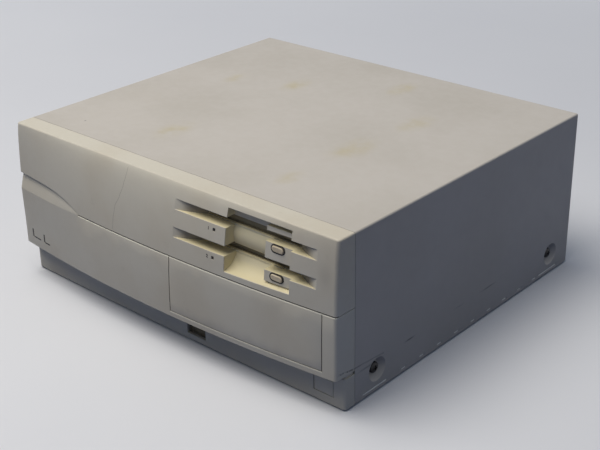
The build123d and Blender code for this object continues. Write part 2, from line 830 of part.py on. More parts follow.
def head_carriage(number, disk_z):
    """Carriage with two head arms, and the follower that hugs the lead screw."""
    track_z = disk_z - track_drop
    with BuildPart() as carriage:
        with BuildSketch(Plane.YZ.offset(drive_x - 7)):
            with BuildLine():
                Polyline(
                    (carriage_y - 20, disk_z + 3.0),
                    (carriage_y - 20, disk_z + 4.4),
                    (carriage_y + 2, disk_z + 6.0),
                    (carriage_y + 18, disk_z + 6.0),
                    (carriage_y + 18, disk_z - 9.4),
                    (carriage_y + 2, disk_z - 9.4),
                    (carriage_y + 2, disk_z - 5.2),
                    (carriage_y - 20, disk_z - 4.2),
                    (carriage_y - 20, disk_z - 3.0),
                    (carriage_y + 4, disk_z - 3.0),
                    (carriage_y + 4, disk_z + 3.0),
                    close=True,
                )
            make_face()
        extrude(amount=14)
        # the two heads
        head_y = (carriage_y - 18.5, carriage_y - 14)
        for head_z in (disk_z - 3.0, disk_z + 2.4):
            brick((drive_x - 3, drive_x + 3), head_y, (head_z, head_z + 0.6))
        follower_y = (carriage_y + 4, carriage_y + 12)
        brick((drive_x + 6, screw_x + 3.4), follower_y, (track_z - 3.2, track_z + 3.2))
        with BuildSketch(front_plane(carriage_y + 13)):
            with Locations((screw_x, track_z)):
                Circle(1.9)
        extrude(amount=10, mode=Mode.SUBTRACT)
    save(carriage.part, f"head_carriage_{number}")


def lead_screw(number, track_z):
    """Lead screw with the motor's rotor on its rear end."""
    with BuildPart() as screw:
        with BuildSketch(front_plane(drive_back_y - 7)):
            with Locations((screw_x, track_z)):
                Circle(1.5)
        extrude(amount=drive_back_y - 7 - (carriage_y - 20))
        with BuildSketch(front_plane(drive_back_y - 2)):
            with Locations((screw_x, track_z)):
                Circle(3.6)
        extrude(amount=5)
    save(screw.part, f"lead_screw_{number}")


def drive_flap(number, disk_z):
    """Dust flap behind the disk slot, with a pivot at both ends of its top edge."""
    hinge_z = disk_z + 3
    flap_foot_z = disk_z - 3.3
    with BuildPart() as flap:
        with BuildSketch(side_plane(drive_x - flap_half)):
            with BuildLine():
                Polyline(
                    (flap_hinge_y - 0.7, hinge_z),
                    (flap_hinge_y - 0.7, flap_foot_z),
                    (flap_hinge_y + 0.3, flap_foot_z),
                    (flap_hinge_y + 0.7, hinge_z),
                )
                ThreePointArc(
                    (flap_hinge_y + 0.7, hinge_z),
                    (flap_hinge_y, hinge_z + 0.7),
                    (flap_hinge_y - 0.7, hinge_z),
                )
            make_face()
        extrude(amount=2 * flap_half)
        with BuildSketch(side_plane(drive_left_x + 0.3)):
            with Locations((flap_hinge_y, hinge_z)):
                Circle(0.7)
        extrude(amount=drive_width - 0.6)
    save(flap.part, f"drive_flap_{number}")


def eject_button(number, button_z):
    """Long push button with a flat stem that reaches into the drive."""
    cap_front_y = face_y(button_x, button_z) + block_inset - 1.2
    cap_back_y = drive_front_y - 5
    with BuildPart() as button:
        with BuildSketch(front_plane(cap_back_y)):
            with Locations((button_x, button_z)):
                SlotOverall(button_width, button_height)
        extrude(amount=cap_back_y - cap_front_y)
        chamfer(button.faces().sort_by(Axis.Y)[0].edges(), 0.7)
        stem_y = (cap_back_y - 0.5, drive_front_y + 9)
        brick((button_x - 4, button_x + 4), stem_y, (button_z - 1, button_z + 1))
    save(button.part, f"eject_button_{number}")


def drive_lamp(number, lamp_z):
    """Light pipe from the drive to its small square window."""
    lamp_front_y = face_y(lamp_x, lamp_z) + 0.4
    with BuildPart() as lamp:
        with BuildSketch(front_plane(drive_front_y - 0.2)):
            with Locations((lamp_x, lamp_z)):
                Rectangle(lamp_size, lamp_size)
        extrude(amount=drive_front_y - 0.2 - lamp_front_y)
    save(lamp.part, f"drive_lamp_{number}")


def drive_cage():
    """Steel tunnel that carries both drives over the file bay, on two legs."""
    cage_y_span = (drive_front_y + 4, drive_back_y + 2)
    narrow = (drive_left_x - 1.4, drive_right_x + 1.4)
    wide = (bay_left_x + 5.4, bay_right_x - 5.0)
    shelf_z = drive_floor(slot_floors[1]) - 0.3
    top_z = 146.4
    foot_z = bay_bottom_z - pan_sheet
    with BuildPart() as cage:
        brick(narrow, cage_y_span, (shelf_z - 2, top_z))
        brick(wide, cage_y_span, (foot_z, shelf_z))
        through_y = (cage_y_span[0] - 1, cage_y_span[1] + 1)
        inner_low = (foot_z + pan_sheet, shelf_z - pan_sheet)
        for (low_x, high_x), inner_z in ((narrow, (shelf_z, top_z - pan_sheet)), (wide, inner_low)):
            brick((low_x + pan_sheet, high_x - pan_sheet), through_y, inner_z, Mode.SUBTRACT)
        # windows that lighten the sides of the file bay
        with BuildSketch(side_plane(wide[0] - 1)):
            with Locations((between(*cage_y_span)[0], between(*inner_low)[0])):
                with GridLocations(42, 0, 3, 1):
                    Rectangle(34, 20)
        extrude(amount=wide[1] - wide[0] + 2, mode=Mode.SUBTRACT)
        # legs
        leg_y = (drive_front_y + 50, cage_y_span[1])
        for leg_x in (wide[0], wide[1] - pan_sheet):
            brick((leg_x, leg_x + pan_sheet), leg_y, (pan_floor_z + pan_sheet, foot_z + 1))
    save(cage.part, "drive_cage")


# ---------------------------------------------------------------- electronics

def main_board():
    """Printed board on the chassis pillars, with its chips."""
    with BuildPart() as board:
        with BuildSketch(Plane.XY.offset(board_z)):
            with Locations((board_middle_x, board_middle_y)):
                Rectangle(board_width, board_length)
        extrude(amount=board_thickness)
    save(board.part, "main_board")


def board_chips():
    """The larger square and long chips of the main board."""
    with BuildPart() as chips:
        with BuildSketch(Plane.XY.offset(board_top_z)):
            with Locations((-45, -25), (-120, 60), (-60, 80)):
                Rectangle(28, 28)
            with Locations((-140, -90), (-120, -90), (-100, -90)):
                Rectangle(9, 24)
        extrude(amount=3.2)
    save(chips.part, "board_chips")


def processor():
    """Square processor package with a finned heat sink."""
    with BuildPart() as chip:
        with BuildSketch(Plane.XY.offset(board_top_z)):
            with Locations((-20, -70)):
                Rectangle(45, 45)
        extrude(amount=6)
        with BuildSketch(Plane.XY.offset(board_top_z + 6)):
            with Locations((-20, -70)):
                with GridLocations(5.4, 0, 8, 1):
                    Rectangle(1.4, 42)
        extrude(amount=9)
    save(chip.part, "processor")


def memory_modules():
    """Two upright memory boards in their sockets."""
    with BuildPart() as modules:
        for module_x in (-80.0, -68.0):
            brick((module_x - 4, module_x + 4), (-118, -8), (board_top_z, board_top_z + 7))
            board_span = (board_top_z + 6, board_top_z + 26)
            chip_span = (board_top_z + 11, board_top_z + 21)
            brick((module_x - 0.7, module_x + 0.7), (-116, -10), board_span)
            brick((module_x + 0.6, module_x + 2.4), (-110, -16), chip_span)
    save(modules.part, "memory_modules")


def speaker():
    """Small round loudspeaker on the chassis front."""
    speaker_x = -120.0
    speaker_z = 32.0
    mount_y = pan_front_y + pan_sheet + 0.1
    with BuildPart() as cone:
        with BuildSketch(Plane.XY.offset(speaker_z)):
            with BuildLine():
                Polyline(
                    (speaker_x, mount_y + 4),
                    (speaker_x + 8, mount_y + 4),
                    (speaker_x + 21, mount_y),
                    (speaker_x + 25, mount_y),
                    (speaker_x + 25, mount_y + 1.5),
                    (speaker_x + 15, mount_y + 9),
                    (speaker_x + 14, mount_y + 14),
                    (speaker_x, mount_y + 14),
                    close=True,
                )
            make_face()
        revolve(axis=Axis((speaker_x, 0, speaker_z), (0, 1, 0)))
    save(cone.part, "speaker")


def ports():
    """Sockets along the rear edge of the main board."""
    for label, (middle_x, port_width, port_height) in port_sizes.items():
        middle_z = board_top_z + port_height / 2 + 0.4
        with BuildPart() as port:
            with BuildSketch(front_plane(panel_y - 0.2)):
                with Locations((middle_x, middle_z)):
                    Rectangle(port_width + 3, port_height - 0.6)
            extrude(amount=14)
            with BuildSketch(front_plane(panel_y + pan_sheet + 2.6)):
                with Locations((middle_x, middle_z)):
                    if label == "mouse_port":
                        Circle(6)
                    else:
                        Trapezoid(port_width - 3, port_height - 3.5, 80)
            extrude(amount=4.2)
            with BuildSketch(front_plane(panel_y + pan_sheet + 2.6)):
                with Locations((middle_x, middle_z)):
                    if label == "mouse_port":
                        Circle(5)
                    else:
                        Trapezoid(port_width - 5, port_height - 5.5, 80)
            extrude(amount=3, mode=Mode.SUBTRACT)
        save(port.part, label)


def card_cage():
    """Steel side plates with guide rails for four expansion cards, on a shelf."""
    cage_width = cage_x[1] - cage_x[0]
    cage_height = cage_z[1] - cage_z[0]
    with BuildPart() as cage:
        with BuildSketch(front_plane(cage_y[1])):
            with Locations((between(*cage_x)[0], between(*cage_z)[0])):
                Rectangle(cage_width, cage_height)
            with Locations((between(*cage_x)[0], between(*cage_z)[0] + pan_sheet)):
                Rectangle(cage_width - 2 * pan_sheet, cage_height, mode=Mode.SUBTRACT)
            for level in card_levels:
                for rail_x in (cage_x[0] + 3, cage_x[1] - 3):
                    for rail_z in (level - 2.2, level + 2.2):
                        with Locations((rail_x, rail_z)):
                            Rectangle(4.4, 1.6)
        extrude(amount=cage_y[1] - cage_y[0])
        # legs at the corners of the shelf, beside the main board
        for leg_x in (cage_x[0], cage_x[1] - pan_sheet):
            brick((leg_x, leg_x + pan_sheet), (cage_y[0], cage_y[0] + 20), (board_z + 4, cage_z[0] + 1))
    save(cage.part, "card_cage")


def card_backplane():
    """Upright board that the expansion cards plug into."""
    board_y = (cage_y[0] - 3.4, cage_y[0] - 1.8)
    with BuildPart() as backplane:
        brick((cage_x[0] + 4, cage_x[1] - 4), board_y, (board_z + board_thickness + 0.1, cage_z[1] - 2))
    save(backplane.part, "card_backplane")


def card_sockets():
    """Four long sockets on the backplane, one for each card."""
    socket_y = cage_y[0] - 1.78
    with BuildPart() as sockets:
        with BuildSketch(front_plane(socket_y + 11)):
            for level in card_levels:
                with Locations((between(*cage_x)[0], level)):
                    Rectangle(130, 9)
        extrude(amount=11)
        with BuildSketch(front_plane(socket_y + 11)):
            for level in card_levels:
                with Locations((between(*cage_x)[0], level)):
                    Rectangle(122, 2)
        extrude(amount=8, mode=Mode.SUBTRACT)
    save(sockets.part, "card_sockets")


# ---------------------------------------------------------------- power supply

def power_supply():
    """Steel box around the power electronics, open to the fan and the mains sockets at the rear."""
    with BuildPart() as supply:
        brick(supply_x, supply_y, supply_z)
        inner_x = (supply_x[0] + sheet, supply_x[1] - sheet)
        inner_y = (supply_y[0] + sheet, supply_y[1] - sheet)
        brick(inner_x, inner_y, (supply_z[0] + sheet, supply_z[1] - sheet), Mode.SUBTRACT)
        with BuildSketch(front_plane(supply_y[1] + 1)):
            with Locations((fan_x, fan_z)):
                Rectangle(fan_size + 0.6, fan_size + 0.6)
            for hole_x in (inlet_x, outlet_x):
                with Locations((hole_x, inlet_z)):
                    Rectangle(28.4, 20.8)
        extrude(amount=3, mode=Mode.SUBTRACT)
        # air slots in the front and inner side
        with BuildSketch(front_plane(supply_y[0] + 3)):
            with Locations((fan_x, 78)):
                with GridLocations(9, 0, 10, 1):
                    Rectangle(4, 90)
        extrude(amount=5, mode=Mode.SUBTRACT)
    save(supply.part, "power_supply")


def mains_sockets():
    """Mains inlet with three blades, and the outlet for the display beside it."""
    face = panel_y + pan_sheet
    for label, middle_x in (("mains_inlet", inlet_x), ("mains_outlet", outlet_x)):
        with BuildPart() as socket:
            with BuildSketch(front_plane(face + 0.2)):
                with Locations((middle_x, inlet_z)):
                    Rectangle(28, 20.4)
            extrude(amount=22)
            with BuildSketch(front_plane(face + 2.2)):
                with Locations((middle_x, inlet_z)):
                    RectangleRounded(32, 24.4, 3)
            extrude(amount=2.1)
            if label == "mains_inlet":
                with BuildSketch(front_plane(face + 2.2)) as well:
                    with Locations((middle_x, inlet_z)):
                        Rectangle(24.5, 16.8)
                    chamfer(well.vertices().group_by(Axis.Y)[-1], 4)
                extrude(amount=17, mode=Mode.SUBTRACT)
                # earth blade above, the other two below it
                with BuildSketch(front_plane(face - 15.5)):
                    with Locations((middle_x, inlet_z + 2)):
                        Rectangle(2, 4.2)
                    with Locations((middle_x, inlet_z - 2)):
                        with GridLocations(14, 0, 2, 1):
                            Rectangle(2, 4.2)
                extrude(amount=-11)
            else:
                with BuildSketch(front_plane(face + 2.2)):
                    with Locations((middle_x, inlet_z)):
                        with GridLocations(12.7, 0, 2, 1):
                            Rectangle(2.2, 7)
                    with Locations((middle_x, inlet_z - 6.6)):
                        Circle(2.4)
                extrude(amount=10, mode=Mode.SUBTRACT)
        save(socket.part, label)


def fan_frame():
    """Square fan frame with a round duct, corner ears and three spokes that hold the motor."""
    back_y = supply_y[1] - sheet - 0.2
    front = back_y - fan_depth
    with BuildPart() as frame:
        with BuildSketch(front_plane(back_y)):
            with Locations((fan_x, fan_z)):
                Rectangle(fan_size, fan_size)
                Circle(fan_bore, mode=Mode.SUBTRACT)
        extrude(amount=fan_depth)
        # waist between the two flanges
        with BuildSketch(front_plane(back_y - 4)):
            with Locations((fan_x, fan_z)):
                Rectangle(fan_size + 2, fan_size + 2)
                Circle(fan_bore + 1.6, mode=Mode.SUBTRACT)
        extrude(amount=fan_depth - 8, mode=Mode.SUBTRACT)
        with BuildSketch(front_plane(front + 3)):
            with Locations((fan_x, fan_z)):
                Circle(16)
                with PolarLocations(27, 3, start_angle=90):
                    Rectangle(24, 4)
        extrude(amount=3)
        with BuildSketch(front_plane(front + 8)):
            with Locations((fan_x, fan_z)):
                Circle(3)
        extrude(amount=6)
        with BuildSketch(front_plane(front + 8)):
            with Locations((fan_x, fan_z)):
                Circle(1.55)
        extrude(amount=10, mode=Mode.SUBTRACT)
    save(frame.part, "fan_frame")


def fan_rotor():
    """Hub cup with seven swept blades on a short shaft."""
    back_y = supply_y[1] - sheet - 1.6
    front = supply_y[1] - sheet - 0.2 - fan_depth
    middle_y = (back_y + front) / 2 + 1.5
    with BuildPart() as blade:
        # blade sections, bent at mid chord: radius, half chord and rise of each end
        for radius, half_chord, rise in ((17.0, 5.5, 5.4), (fan_bore - 2.4, 10.5, 3.6)):
            with BuildSketch(Plane.XY.offset(radius)):
                with BuildLine():
                    Polyline(
                        (-half_chord, -rise),
                        (0.0, 1.2),
                        (half_chord, rise),
                        (half_chord - 0.6, rise + 1.0),
                        (-0.6, 2.4),
                        (-half_chord - 0.3, -rise + 1.0),
                        close=True,
                    )
                make_face()
        loft(ruled=True)
    with BuildPart() as rotor:
        with BuildSketch(front_plane(back_y)):
            with Locations((fan_x, fan_z)):
                Circle(17.5)
        extrude(amount=back_y - front - 3.6)
        with BuildSketch(front_plane(front + 3)):
            with Locations((fan_x, fan_z)):
                Circle(15.5)
        extrude(amount=-(back_y - front - 5), mode=Mode.SUBTRACT)
        with BuildSketch(front_plane(back_y - 1)):
            with Locations((fan_x, fan_z)):
                Circle(1.5)
        extrude(amount=back_y - 1 - front - 1)
        for count in range(7):
            angle = 360 / 7 * count
            add(Location((fan_x, middle_y, fan_z), (0, angle, 0)) * blade.part)
    save(rotor.part, "fan_rotor")


upper_bezel()
lower_bezel()
file_bay_cover()
front_rail()
power_button()
power_switch()
keyboard_socket()
panel_lamps()
top_cover()
cover_screws()
feet()
base_pan()
rear_panel()
slot_covers()
slot_screws()
for drive_number, drive_slot in enumerate(slot_floors, start=1):
    drive_parts(drive_number, drive_slot)
drive_cage()
main_board()
board_chips()
processor()
memory_modules()
speaker()
ports()
card_cage()
card_backplane()
card_sockets()
power_supply()
mains_sockets()
fan_frame()
fan_rotor()
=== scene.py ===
import json
import math

import bmesh
import bpy
from mathutils import Matrix, Vector
from mathutils.bvhtree import BVHTree


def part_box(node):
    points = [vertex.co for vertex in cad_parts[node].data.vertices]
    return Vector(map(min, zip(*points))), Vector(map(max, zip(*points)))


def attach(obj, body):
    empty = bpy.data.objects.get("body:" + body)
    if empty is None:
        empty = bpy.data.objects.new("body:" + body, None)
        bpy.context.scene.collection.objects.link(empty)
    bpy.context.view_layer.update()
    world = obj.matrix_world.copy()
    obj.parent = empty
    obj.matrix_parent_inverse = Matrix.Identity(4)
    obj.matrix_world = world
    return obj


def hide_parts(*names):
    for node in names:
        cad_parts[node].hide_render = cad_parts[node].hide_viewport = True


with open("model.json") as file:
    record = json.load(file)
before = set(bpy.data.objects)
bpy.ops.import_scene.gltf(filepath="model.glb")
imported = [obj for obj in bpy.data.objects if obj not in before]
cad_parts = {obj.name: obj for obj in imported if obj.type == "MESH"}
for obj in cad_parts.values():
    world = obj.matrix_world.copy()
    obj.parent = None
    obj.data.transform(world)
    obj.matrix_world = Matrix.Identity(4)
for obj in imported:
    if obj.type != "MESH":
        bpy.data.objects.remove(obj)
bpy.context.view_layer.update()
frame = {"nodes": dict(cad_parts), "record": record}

# A low desktop computer in its case, in metres. X runs right as seen from the front, Y to the back, Z up.

# Case. Its front swells ahead of a straight top edge, least at its ends and more towards its middle
HALF_WIDTH = 0.19
TOP_Z = 0.15
FRONT_FOOT_Z = 0.0327
TOP_EDGE_Y = -0.1595
END_SWELL = 0.0046
MORE_IN_MIDDLE = 0.0114
SWELL_POWER = 0.65

# Marks on the face of the front stay ahead of the first, and those on the right side beyond the second
FACE_BACK_Y = -0.1455
RIGHT_SIDE_X = 0.1895

# Joint between the upper and the lower front, level from its bend to the right end
SEAM_Z = 0.0875
SEAM_BEND_X = -0.0985

# Crease in the skin of the lower front, from that bend to the left end
CREASE_Z = 0.0872
CREASE_HEIGHT = 0.0009
CREASE_FOOT_Z = 0.0580
CREASE_FADE_UP = 0.016
CREASE_FADE_IN = 0.030
SKIN_BACK_Y = -0.150

# Disk slots: the foot and the top of each, and the middle of both
SLOT_SPANS = ((0.1056, 0.1146), (0.1288, 0.1378))
SLOT_X = 0.0985

# Axis of the disk drives' hubs
HUB_AXIS = (0.101, -0.0982, 0.0)

# Rear: the outside of its sheet, the rims of the ports' shells and the floors inside them
SHEET_BACK_Y = 0.1727
SHELL_BACK_Y = 0.1741
PORT_FLOOR_Y = SHELL_BACK_Y - 0.00285


# ---------------------------------------------------------------- how a finish is built up

def shade(red, green, blue):
    """A colour written as on a paint card, 0 to 255, turned into Blender's linear values."""
    def linear(value):
        value /= 255
        return value / 12.92 if value <= 0.04045 else ((value + 0.055) / 1.055) ** 2.4
    return (linear(red), linear(green), linear(blue), 1.0)


class Finish:
    """One material under construction. Patterns are laid out in the case's own coordinates."""

    def __init__(self, name, roughness, metallic=0.0, specular=0.5):
        self.material = bpy.data.materials.new(name)
        self.material.use_nodes = True
        self.tree = self.material.node_tree
        self.shader = self.tree.nodes["Principled BSDF"]
        self.shader.inputs["Roughness"].default_value = roughness
        self.shader.inputs["Metallic"].default_value = metallic
        self.shader.inputs["Specular IOR Level"].default_value = specular
        self.place = self.tree.nodes.new("ShaderNodeTexCoord").outputs["Object"]

    def node(self, kind, inputs=(), **settings):
        """A new node, with its inputs linked or set by their names or numbers."""
        made = self.tree.nodes.new(kind)
        for key, value in settings.items():
            setattr(made, key, value)
        for key, value in dict(inputs).items():
            if isinstance(value, bpy.types.NodeSocket):
                self.tree.links.new(value, made.inputs[key])
            else:
                made.inputs[key].default_value = value
        return made

    def part_of(self, axis):
        """One coordinate of the place."""
        return self.node("ShaderNodeSeparateXYZ", {0: self.place}).outputs[axis]

    def stretched(self, scale):
        """Coordinates scaled by a factor along each axis."""
        return self.node("ShaderNodeMapping", {"Vector": self.place, "Scale": scale}).outputs[0]

    def noise(self, scale, detail=3.0, roughness=0.5, place=None):
        """Soft cloudy pattern from 0 to 1, with features about 1/scale metres wide."""
        inputs = {"Vector": place or self.place, "Scale": scale, "Detail": detail, "Roughness": roughness}
        return self.node("ShaderNodeTexNoise", inputs).outputs["Fac"]

    def band(self, value, low, high, low_to=0.0, high_to=1.0):
        """A value stretched from one span to another, held inside it and eased at both ends."""
        inputs = {0: value, 1: low, 2: high, 3: low_to, 4: high_to}
        return self.node("ShaderNodeMapRange", inputs, interpolation_type="SMOOTHSTEP").outputs[0]

    def band_even(self, value, low, high):
        """A value stretched evenly from a span to 0 to 1, and held inside it."""
        inputs = {0: value, 1: low, 2: high, 3: 0.0, 4: 1.0}
        return self.node("ShaderNodeMapRange", inputs).outputs[0]

    def sums(self, operation, first, second=0.0):
        """The result of one sum. Where it takes a single value, the second has no effect."""
        return self.node("ShaderNodeMath", {0: first, 1: second}, operation=operation).outputs[0]

    def vectors(self, operation, first, second=(0.0, 0.0, 0.0)):
        """The node of one sum with places. Where it takes a single place, the second has no effect."""
        return self.node("ShaderNodeVectorMath", {0: first, 1: second}, operation=operation)

    def times(self, product, *values):
        """Several values multiplied together."""
        for value in values:
            product = self.sums("MULTIPLY", product, value)
        return product

    def between(self, value, low, high):
        """1 where a value lies inside a span, and 0 elsewhere."""
        return self.times(self.sums("GREATER_THAN", value, low), self.sums("LESS_THAN", value, high))

    def near(self, middle, radius, sizes=(1.0, 1.0, 1.0)):
        """1 at a point and 0 beyond a radius round it, stretched along the axes by sizes."""
        offset = self.vectors("SUBTRACT", self.place, middle).outputs[0]
        scaled = self.vectors("DIVIDE", offset, sizes).outputs[0]
        length = self.vectors("LENGTH", scaled).outputs["Value"]
        return self.band(length, 0.0, radius, 1.0, 0.0)

    def traced(self, along, across, stops, half_width):
        """1 on a line drawn through stops, pairs of places along one axis and another, and 0 off it."""
        first, last = stops[0][0], stops[-1][0]
        low = min(side for _, side in stops)
        span = max(side for _, side in stops) - low
        share = self.band_even(along, first, last)
        ramp = self.node("ShaderNodeFloatCurve", {"Factor": 1.0, "Value": share})
        curve = ramp.mapping.curves[0]
        for place, side in stops[1:-1]:
            curve.points.new((place - first) / (last - first), (side - low) / span)
        curve.points[0].location = (0.0, (stops[0][1] - low) / span)
        curve.points[len(stops) - 1].location = (1.0, (stops[-1][1] - low) / span)
        for point in curve.points:
            point.handle_type = "VECTOR"
        ramp.mapping.update()
        middle = self.sums("ADD", self.times(ramp.outputs[0], span), low)
        off = self.sums("ABSOLUTE", self.sums("SUBTRACT", across, middle))
        on_line = self.band(off, half_width * 0.4, half_width, 1.0, 0.0)
        return self.times(on_line, self.between(along, first, last))

    def blend(self, factor, first, second):
        """Colour that goes from the first to the second."""
        inputs = {0: factor, 6: first, 7: second}
        return self.node("ShaderNodeMix", inputs, data_type="RGBA").outputs[2]

    def stained(self, base, mask, strength, tone):
        """A colour with a tone laid over it, by a strength, where a mask is 1."""
        return self.blend(self.times(mask, strength), base, tone)

    def colour(self, value):
        """Take the base colour from a pattern."""
        self.tree.links.new(value, self.shader.inputs["Base Color"])

    def roughness(self, value):
        """Take the roughness from a pattern."""
        self.tree.links.new(value, self.shader.inputs["Roughness"])

    def relief(self, height, depth, strength, edge=0.0):
        """Bumps of a depth in metres, over edges that are rounded off by a radius."""
        inputs = {"Height": height, "Distance": depth, "Strength": strength}
        if edge:
            inputs["Normal"] = self.node("ShaderNodeBevel", {"Radius": edge}, samples=6).outputs[0]
        bump = self.node("ShaderNodeBump", inputs)
        self.tree.links.new(bump.outputs[0], self.shader.inputs["Normal"])


# ---------------------------------------------------------------- plastic of the front

def arched(finish, value):
    """1 where a value is 0, and down in an arch to 0 where it is 1 or -1."""
    return finish.sums("SUBTRACT", 1.0, finish.sums("POWER", value, 2.0))


def behind_face(finish, across, along, up):
    """How far a place lies behind the bowed and swelling front of the case."""
    bow = arched(finish, finish.sums("DIVIDE", across, HALF_WIDTH))
    swell = finish.sums("POWER", arched(finish, finish.band_even(up, FRONT_FOOT_Z, TOP_Z)), SWELL_POWER)
    reach = finish.sums("ADD", finish.times(bow, MORE_IN_MIDDLE), END_SWELL)
    face = finish.sums("SUBTRACT", TOP_EDGE_Y, finish.times(swell, reach))
    return finish.sums("SUBTRACT", along, face)


def hairline_crack(finish, base, across, along, up):
    """A crack that wanders down the upper front."""
    stops = (
        (0.0905, -0.0504), (0.0940, -0.0501), (0.1017, -0.0493), (0.1126, -0.0473),
        (0.1212, -0.0423), (0.1323, -0.0383), (0.1426, -0.0360), (0.1478, -0.0358),
    )
    shaken = finish.times(finish.sums("SUBTRACT", finish.noise(120.0, 3.0), 0.5), 0.0016)
    crack = finish.traced(up, finish.sums("ADD", across, shaken), stops, 0.00022)
    ahead = finish.sums("LESS_THAN", along, FACE_BACK_Y)
    return finish.stained(base, finish.times(crack, ahead), 0.75, shade(112, 102, 84))


def slot_tones(finish, base, across, along, up):
    """Deeper cream in the slots and the finger recess, partly plastic yellowed there and partly painted warm
    light on floors and lips and painted bounce light deep inside; and painted shade on walls far inside the
    slots.
    """
    depth = behind_face(finish, across, along, up)
    normal = finish.node("ShaderNodeNewGeometry").outputs["True Normal"]
    normal = finish.node("ShaderNodeSeparateXYZ", {0: normal})
    level = finish.band(normal.outputs["Z"], 0.3, 0.75)
    upright = finish.band(finish.sums("ABSOLUTE", normal.outputs["X"]), 0.5, 0.85)
    walls = finish.times(finish.sums("MAXIMUM", level, upright), finish.band(depth, 0.0001, 0.0009))
    deep = finish.band(up, 0.1280, 0.1340, 0.75, 0.2)
    cream_and_light = finish.sums("MAXIMUM", walls, finish.band(depth, 0.0045, 0.0080, 0.0, deep))
    # the cream ends at the left, the foot, the right and the top of the field that the slots lie in
    for limit in (
        (across, 0.0190, 0.0205), (up, 0.0915, 0.0930),
        (across, 0.1735, 0.1750, 1.0, 0.0), (up, 0.1462, 0.1470, 1.0, 0.0),
    ):
        cream_and_light = finish.times(cream_and_light, finish.band(*limit))
    # painted light: floors, lips and walls near the face, and faces deep in the recess, take a warmer cream
    # over plastic yellowed there
    base = finish.stained(base, cream_and_light, 0.9, shade(222, 209, 166))
    # painted shade on outward-facing walls deep in the scooped ends of the slots
    facing_out = finish.band(normal.outputs["Y"], -0.75, -0.45, 1.0, 0.0)
    painted_shade = finish.times(facing_out, finish.band(depth, 0.0004, 0.0050))
    off_middle = finish.sums("ABSOLUTE", finish.sums("SUBTRACT", across, SLOT_X))
    beside = finish.band(off_middle, 0.0210, 0.0250)
    for foot_z, top_z in SLOT_SPANS:
        shaded_spot = finish.times(painted_shade, finish.between(up, foot_z, top_z), beside)
        base = finish.stained(base, shaded_spot, 0.8, shade(94, 88, 80))
    return base


def joint_lines(finish, base, across, along, up):
    """Painted shadow along the joints of the front, and a painted highlight on the edge below those that run
    across it.
    """
    ahead = finish.sums("LESS_THAN", along, FACE_BACK_Y)
    pale, joint_shadow = shade(246, 240, 218), shade(58, 50, 40)
    cover_foot_z = 0.0375
    # the dark bands are painted shadow in and beside the gaps, the pale ones painted highlights on the lit
    # edges below them
    for foot_z, top_z, left_x, right_x, strength, tone in (
        (cover_foot_z, SEAM_Z, 0.01955, 0.02025, 0.6, joint_shadow),
        (cover_foot_z, SEAM_Z, 0.1766, 0.1775, 0.8, joint_shadow),
        (0.08675, 0.08755, SEAM_BEND_X, HALF_WIDTH, 0.9, pale),
        (0.08760, 0.08862, SEAM_BEND_X, HALF_WIDTH, 0.9, joint_shadow),
        (0.03670, 0.03755, 0.0197, 0.1772, 0.7, pale),
        (0.03770, 0.03850, 0.0201, 0.1768, 0.6, joint_shadow),
    ):
        line = finish.times(ahead, finish.between(up, foot_z, top_z), finish.between(across, left_x, right_x))
        base = finish.stained(base, line, strength, tone)
    return base


def end_scuff(finish, base, across, along, up):
    """A dark broken scuff low on the right end."""
    scuff = finish.traced(along, up, ((-0.1640, 0.0380), (-0.1400, 0.0339)), 0.0011)
    right_end = finish.sums("GREATER_THAN", across, RIGHT_SIDE_X)
    broken = finish.band(finish.noise(300.0, 4.0, 0.7), 0.38, 0.6)
    return finish.stained(base, finish.times(scuff, right_end, broken), 0.8, shade(58, 54, 52))


def front_plastic():
    """Beige moulded plastic, finely grained, slightly yellowed, clouded and marked by age, with painted light
    and shade in its slots and along its joints.
    """
    finish = Finish("front_plastic", 0.5, specular=0.4)
    place = [finish.part_of(axis) for axis in "XYZ"]
    cloud = finish.band(finish.noise(16.0, 4.0), 0.35, 0.7)
    base = finish.blend(cloud, shade(205, 198, 180), shade(199, 190, 170))
    grime_and_gap_shade = finish.band(finish.noise(90.0, 6.0, 0.7), 0.58, 0.8)
    base = finish.stained(base, grime_and_gap_shade, 0.35, shade(178, 169, 150))
    base = hairline_crack(finish, base, *place)
    # painted light and painted shade inside the slots and the finger recess
    base = slot_tones(finish, base, *place)
    finger_smudge = finish.near((0.1790, -0.166, 0.1190), 0.0130, (0.8, 2.0, 1.1))
    base = finish.stained(base, finger_smudge, 0.3, shade(150, 143, 130))
    # painted shadow and painted highlights along the joints
    base = joint_lines(finish, base, *place)
    finish.colour(end_scuff(finish, base, *place))
    finish.roughness(finish.band(finish.noise(240.0, 4.0), 0.3, 0.7, 0.42, 0.56))
    finish.relief(finish.noise(1900.0, 2.0), 0.00006, 0.5, 0.0005)
    return finish.material


def cap_plastic(node):
    """Smooth beige cap of an eject button, a little darker than the front, with painted shade on its sides
    for the shadow in the gap round it.
    """
    front_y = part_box(node)[0][1]
    finish = Finish(f"{node}_plastic", 0.45, specular=0.4)
    cloud = finish.band(finish.noise(500.0, 4.0), 0.35, 0.7)
    base = finish.blend(cloud, shade(216, 199, 168), shade(206, 189, 157))
    # painted shade on the cap's sides, from a little behind its face, for the shadow in the gap round it
    grime_and_gap_shade = finish.band(finish.part_of("Y"), front_y + 0.00045, front_y + 0.00075)
    finish.colour(finish.stained(base, grime_and_gap_shade, 0.9, shade(40, 36, 34)))
    finish.relief(finish.noise(1900.0, 2.0), 0.00005, 0.5, 0.0002)
    return finish.material


# ---------------------------------------------------------------- paint of the cover

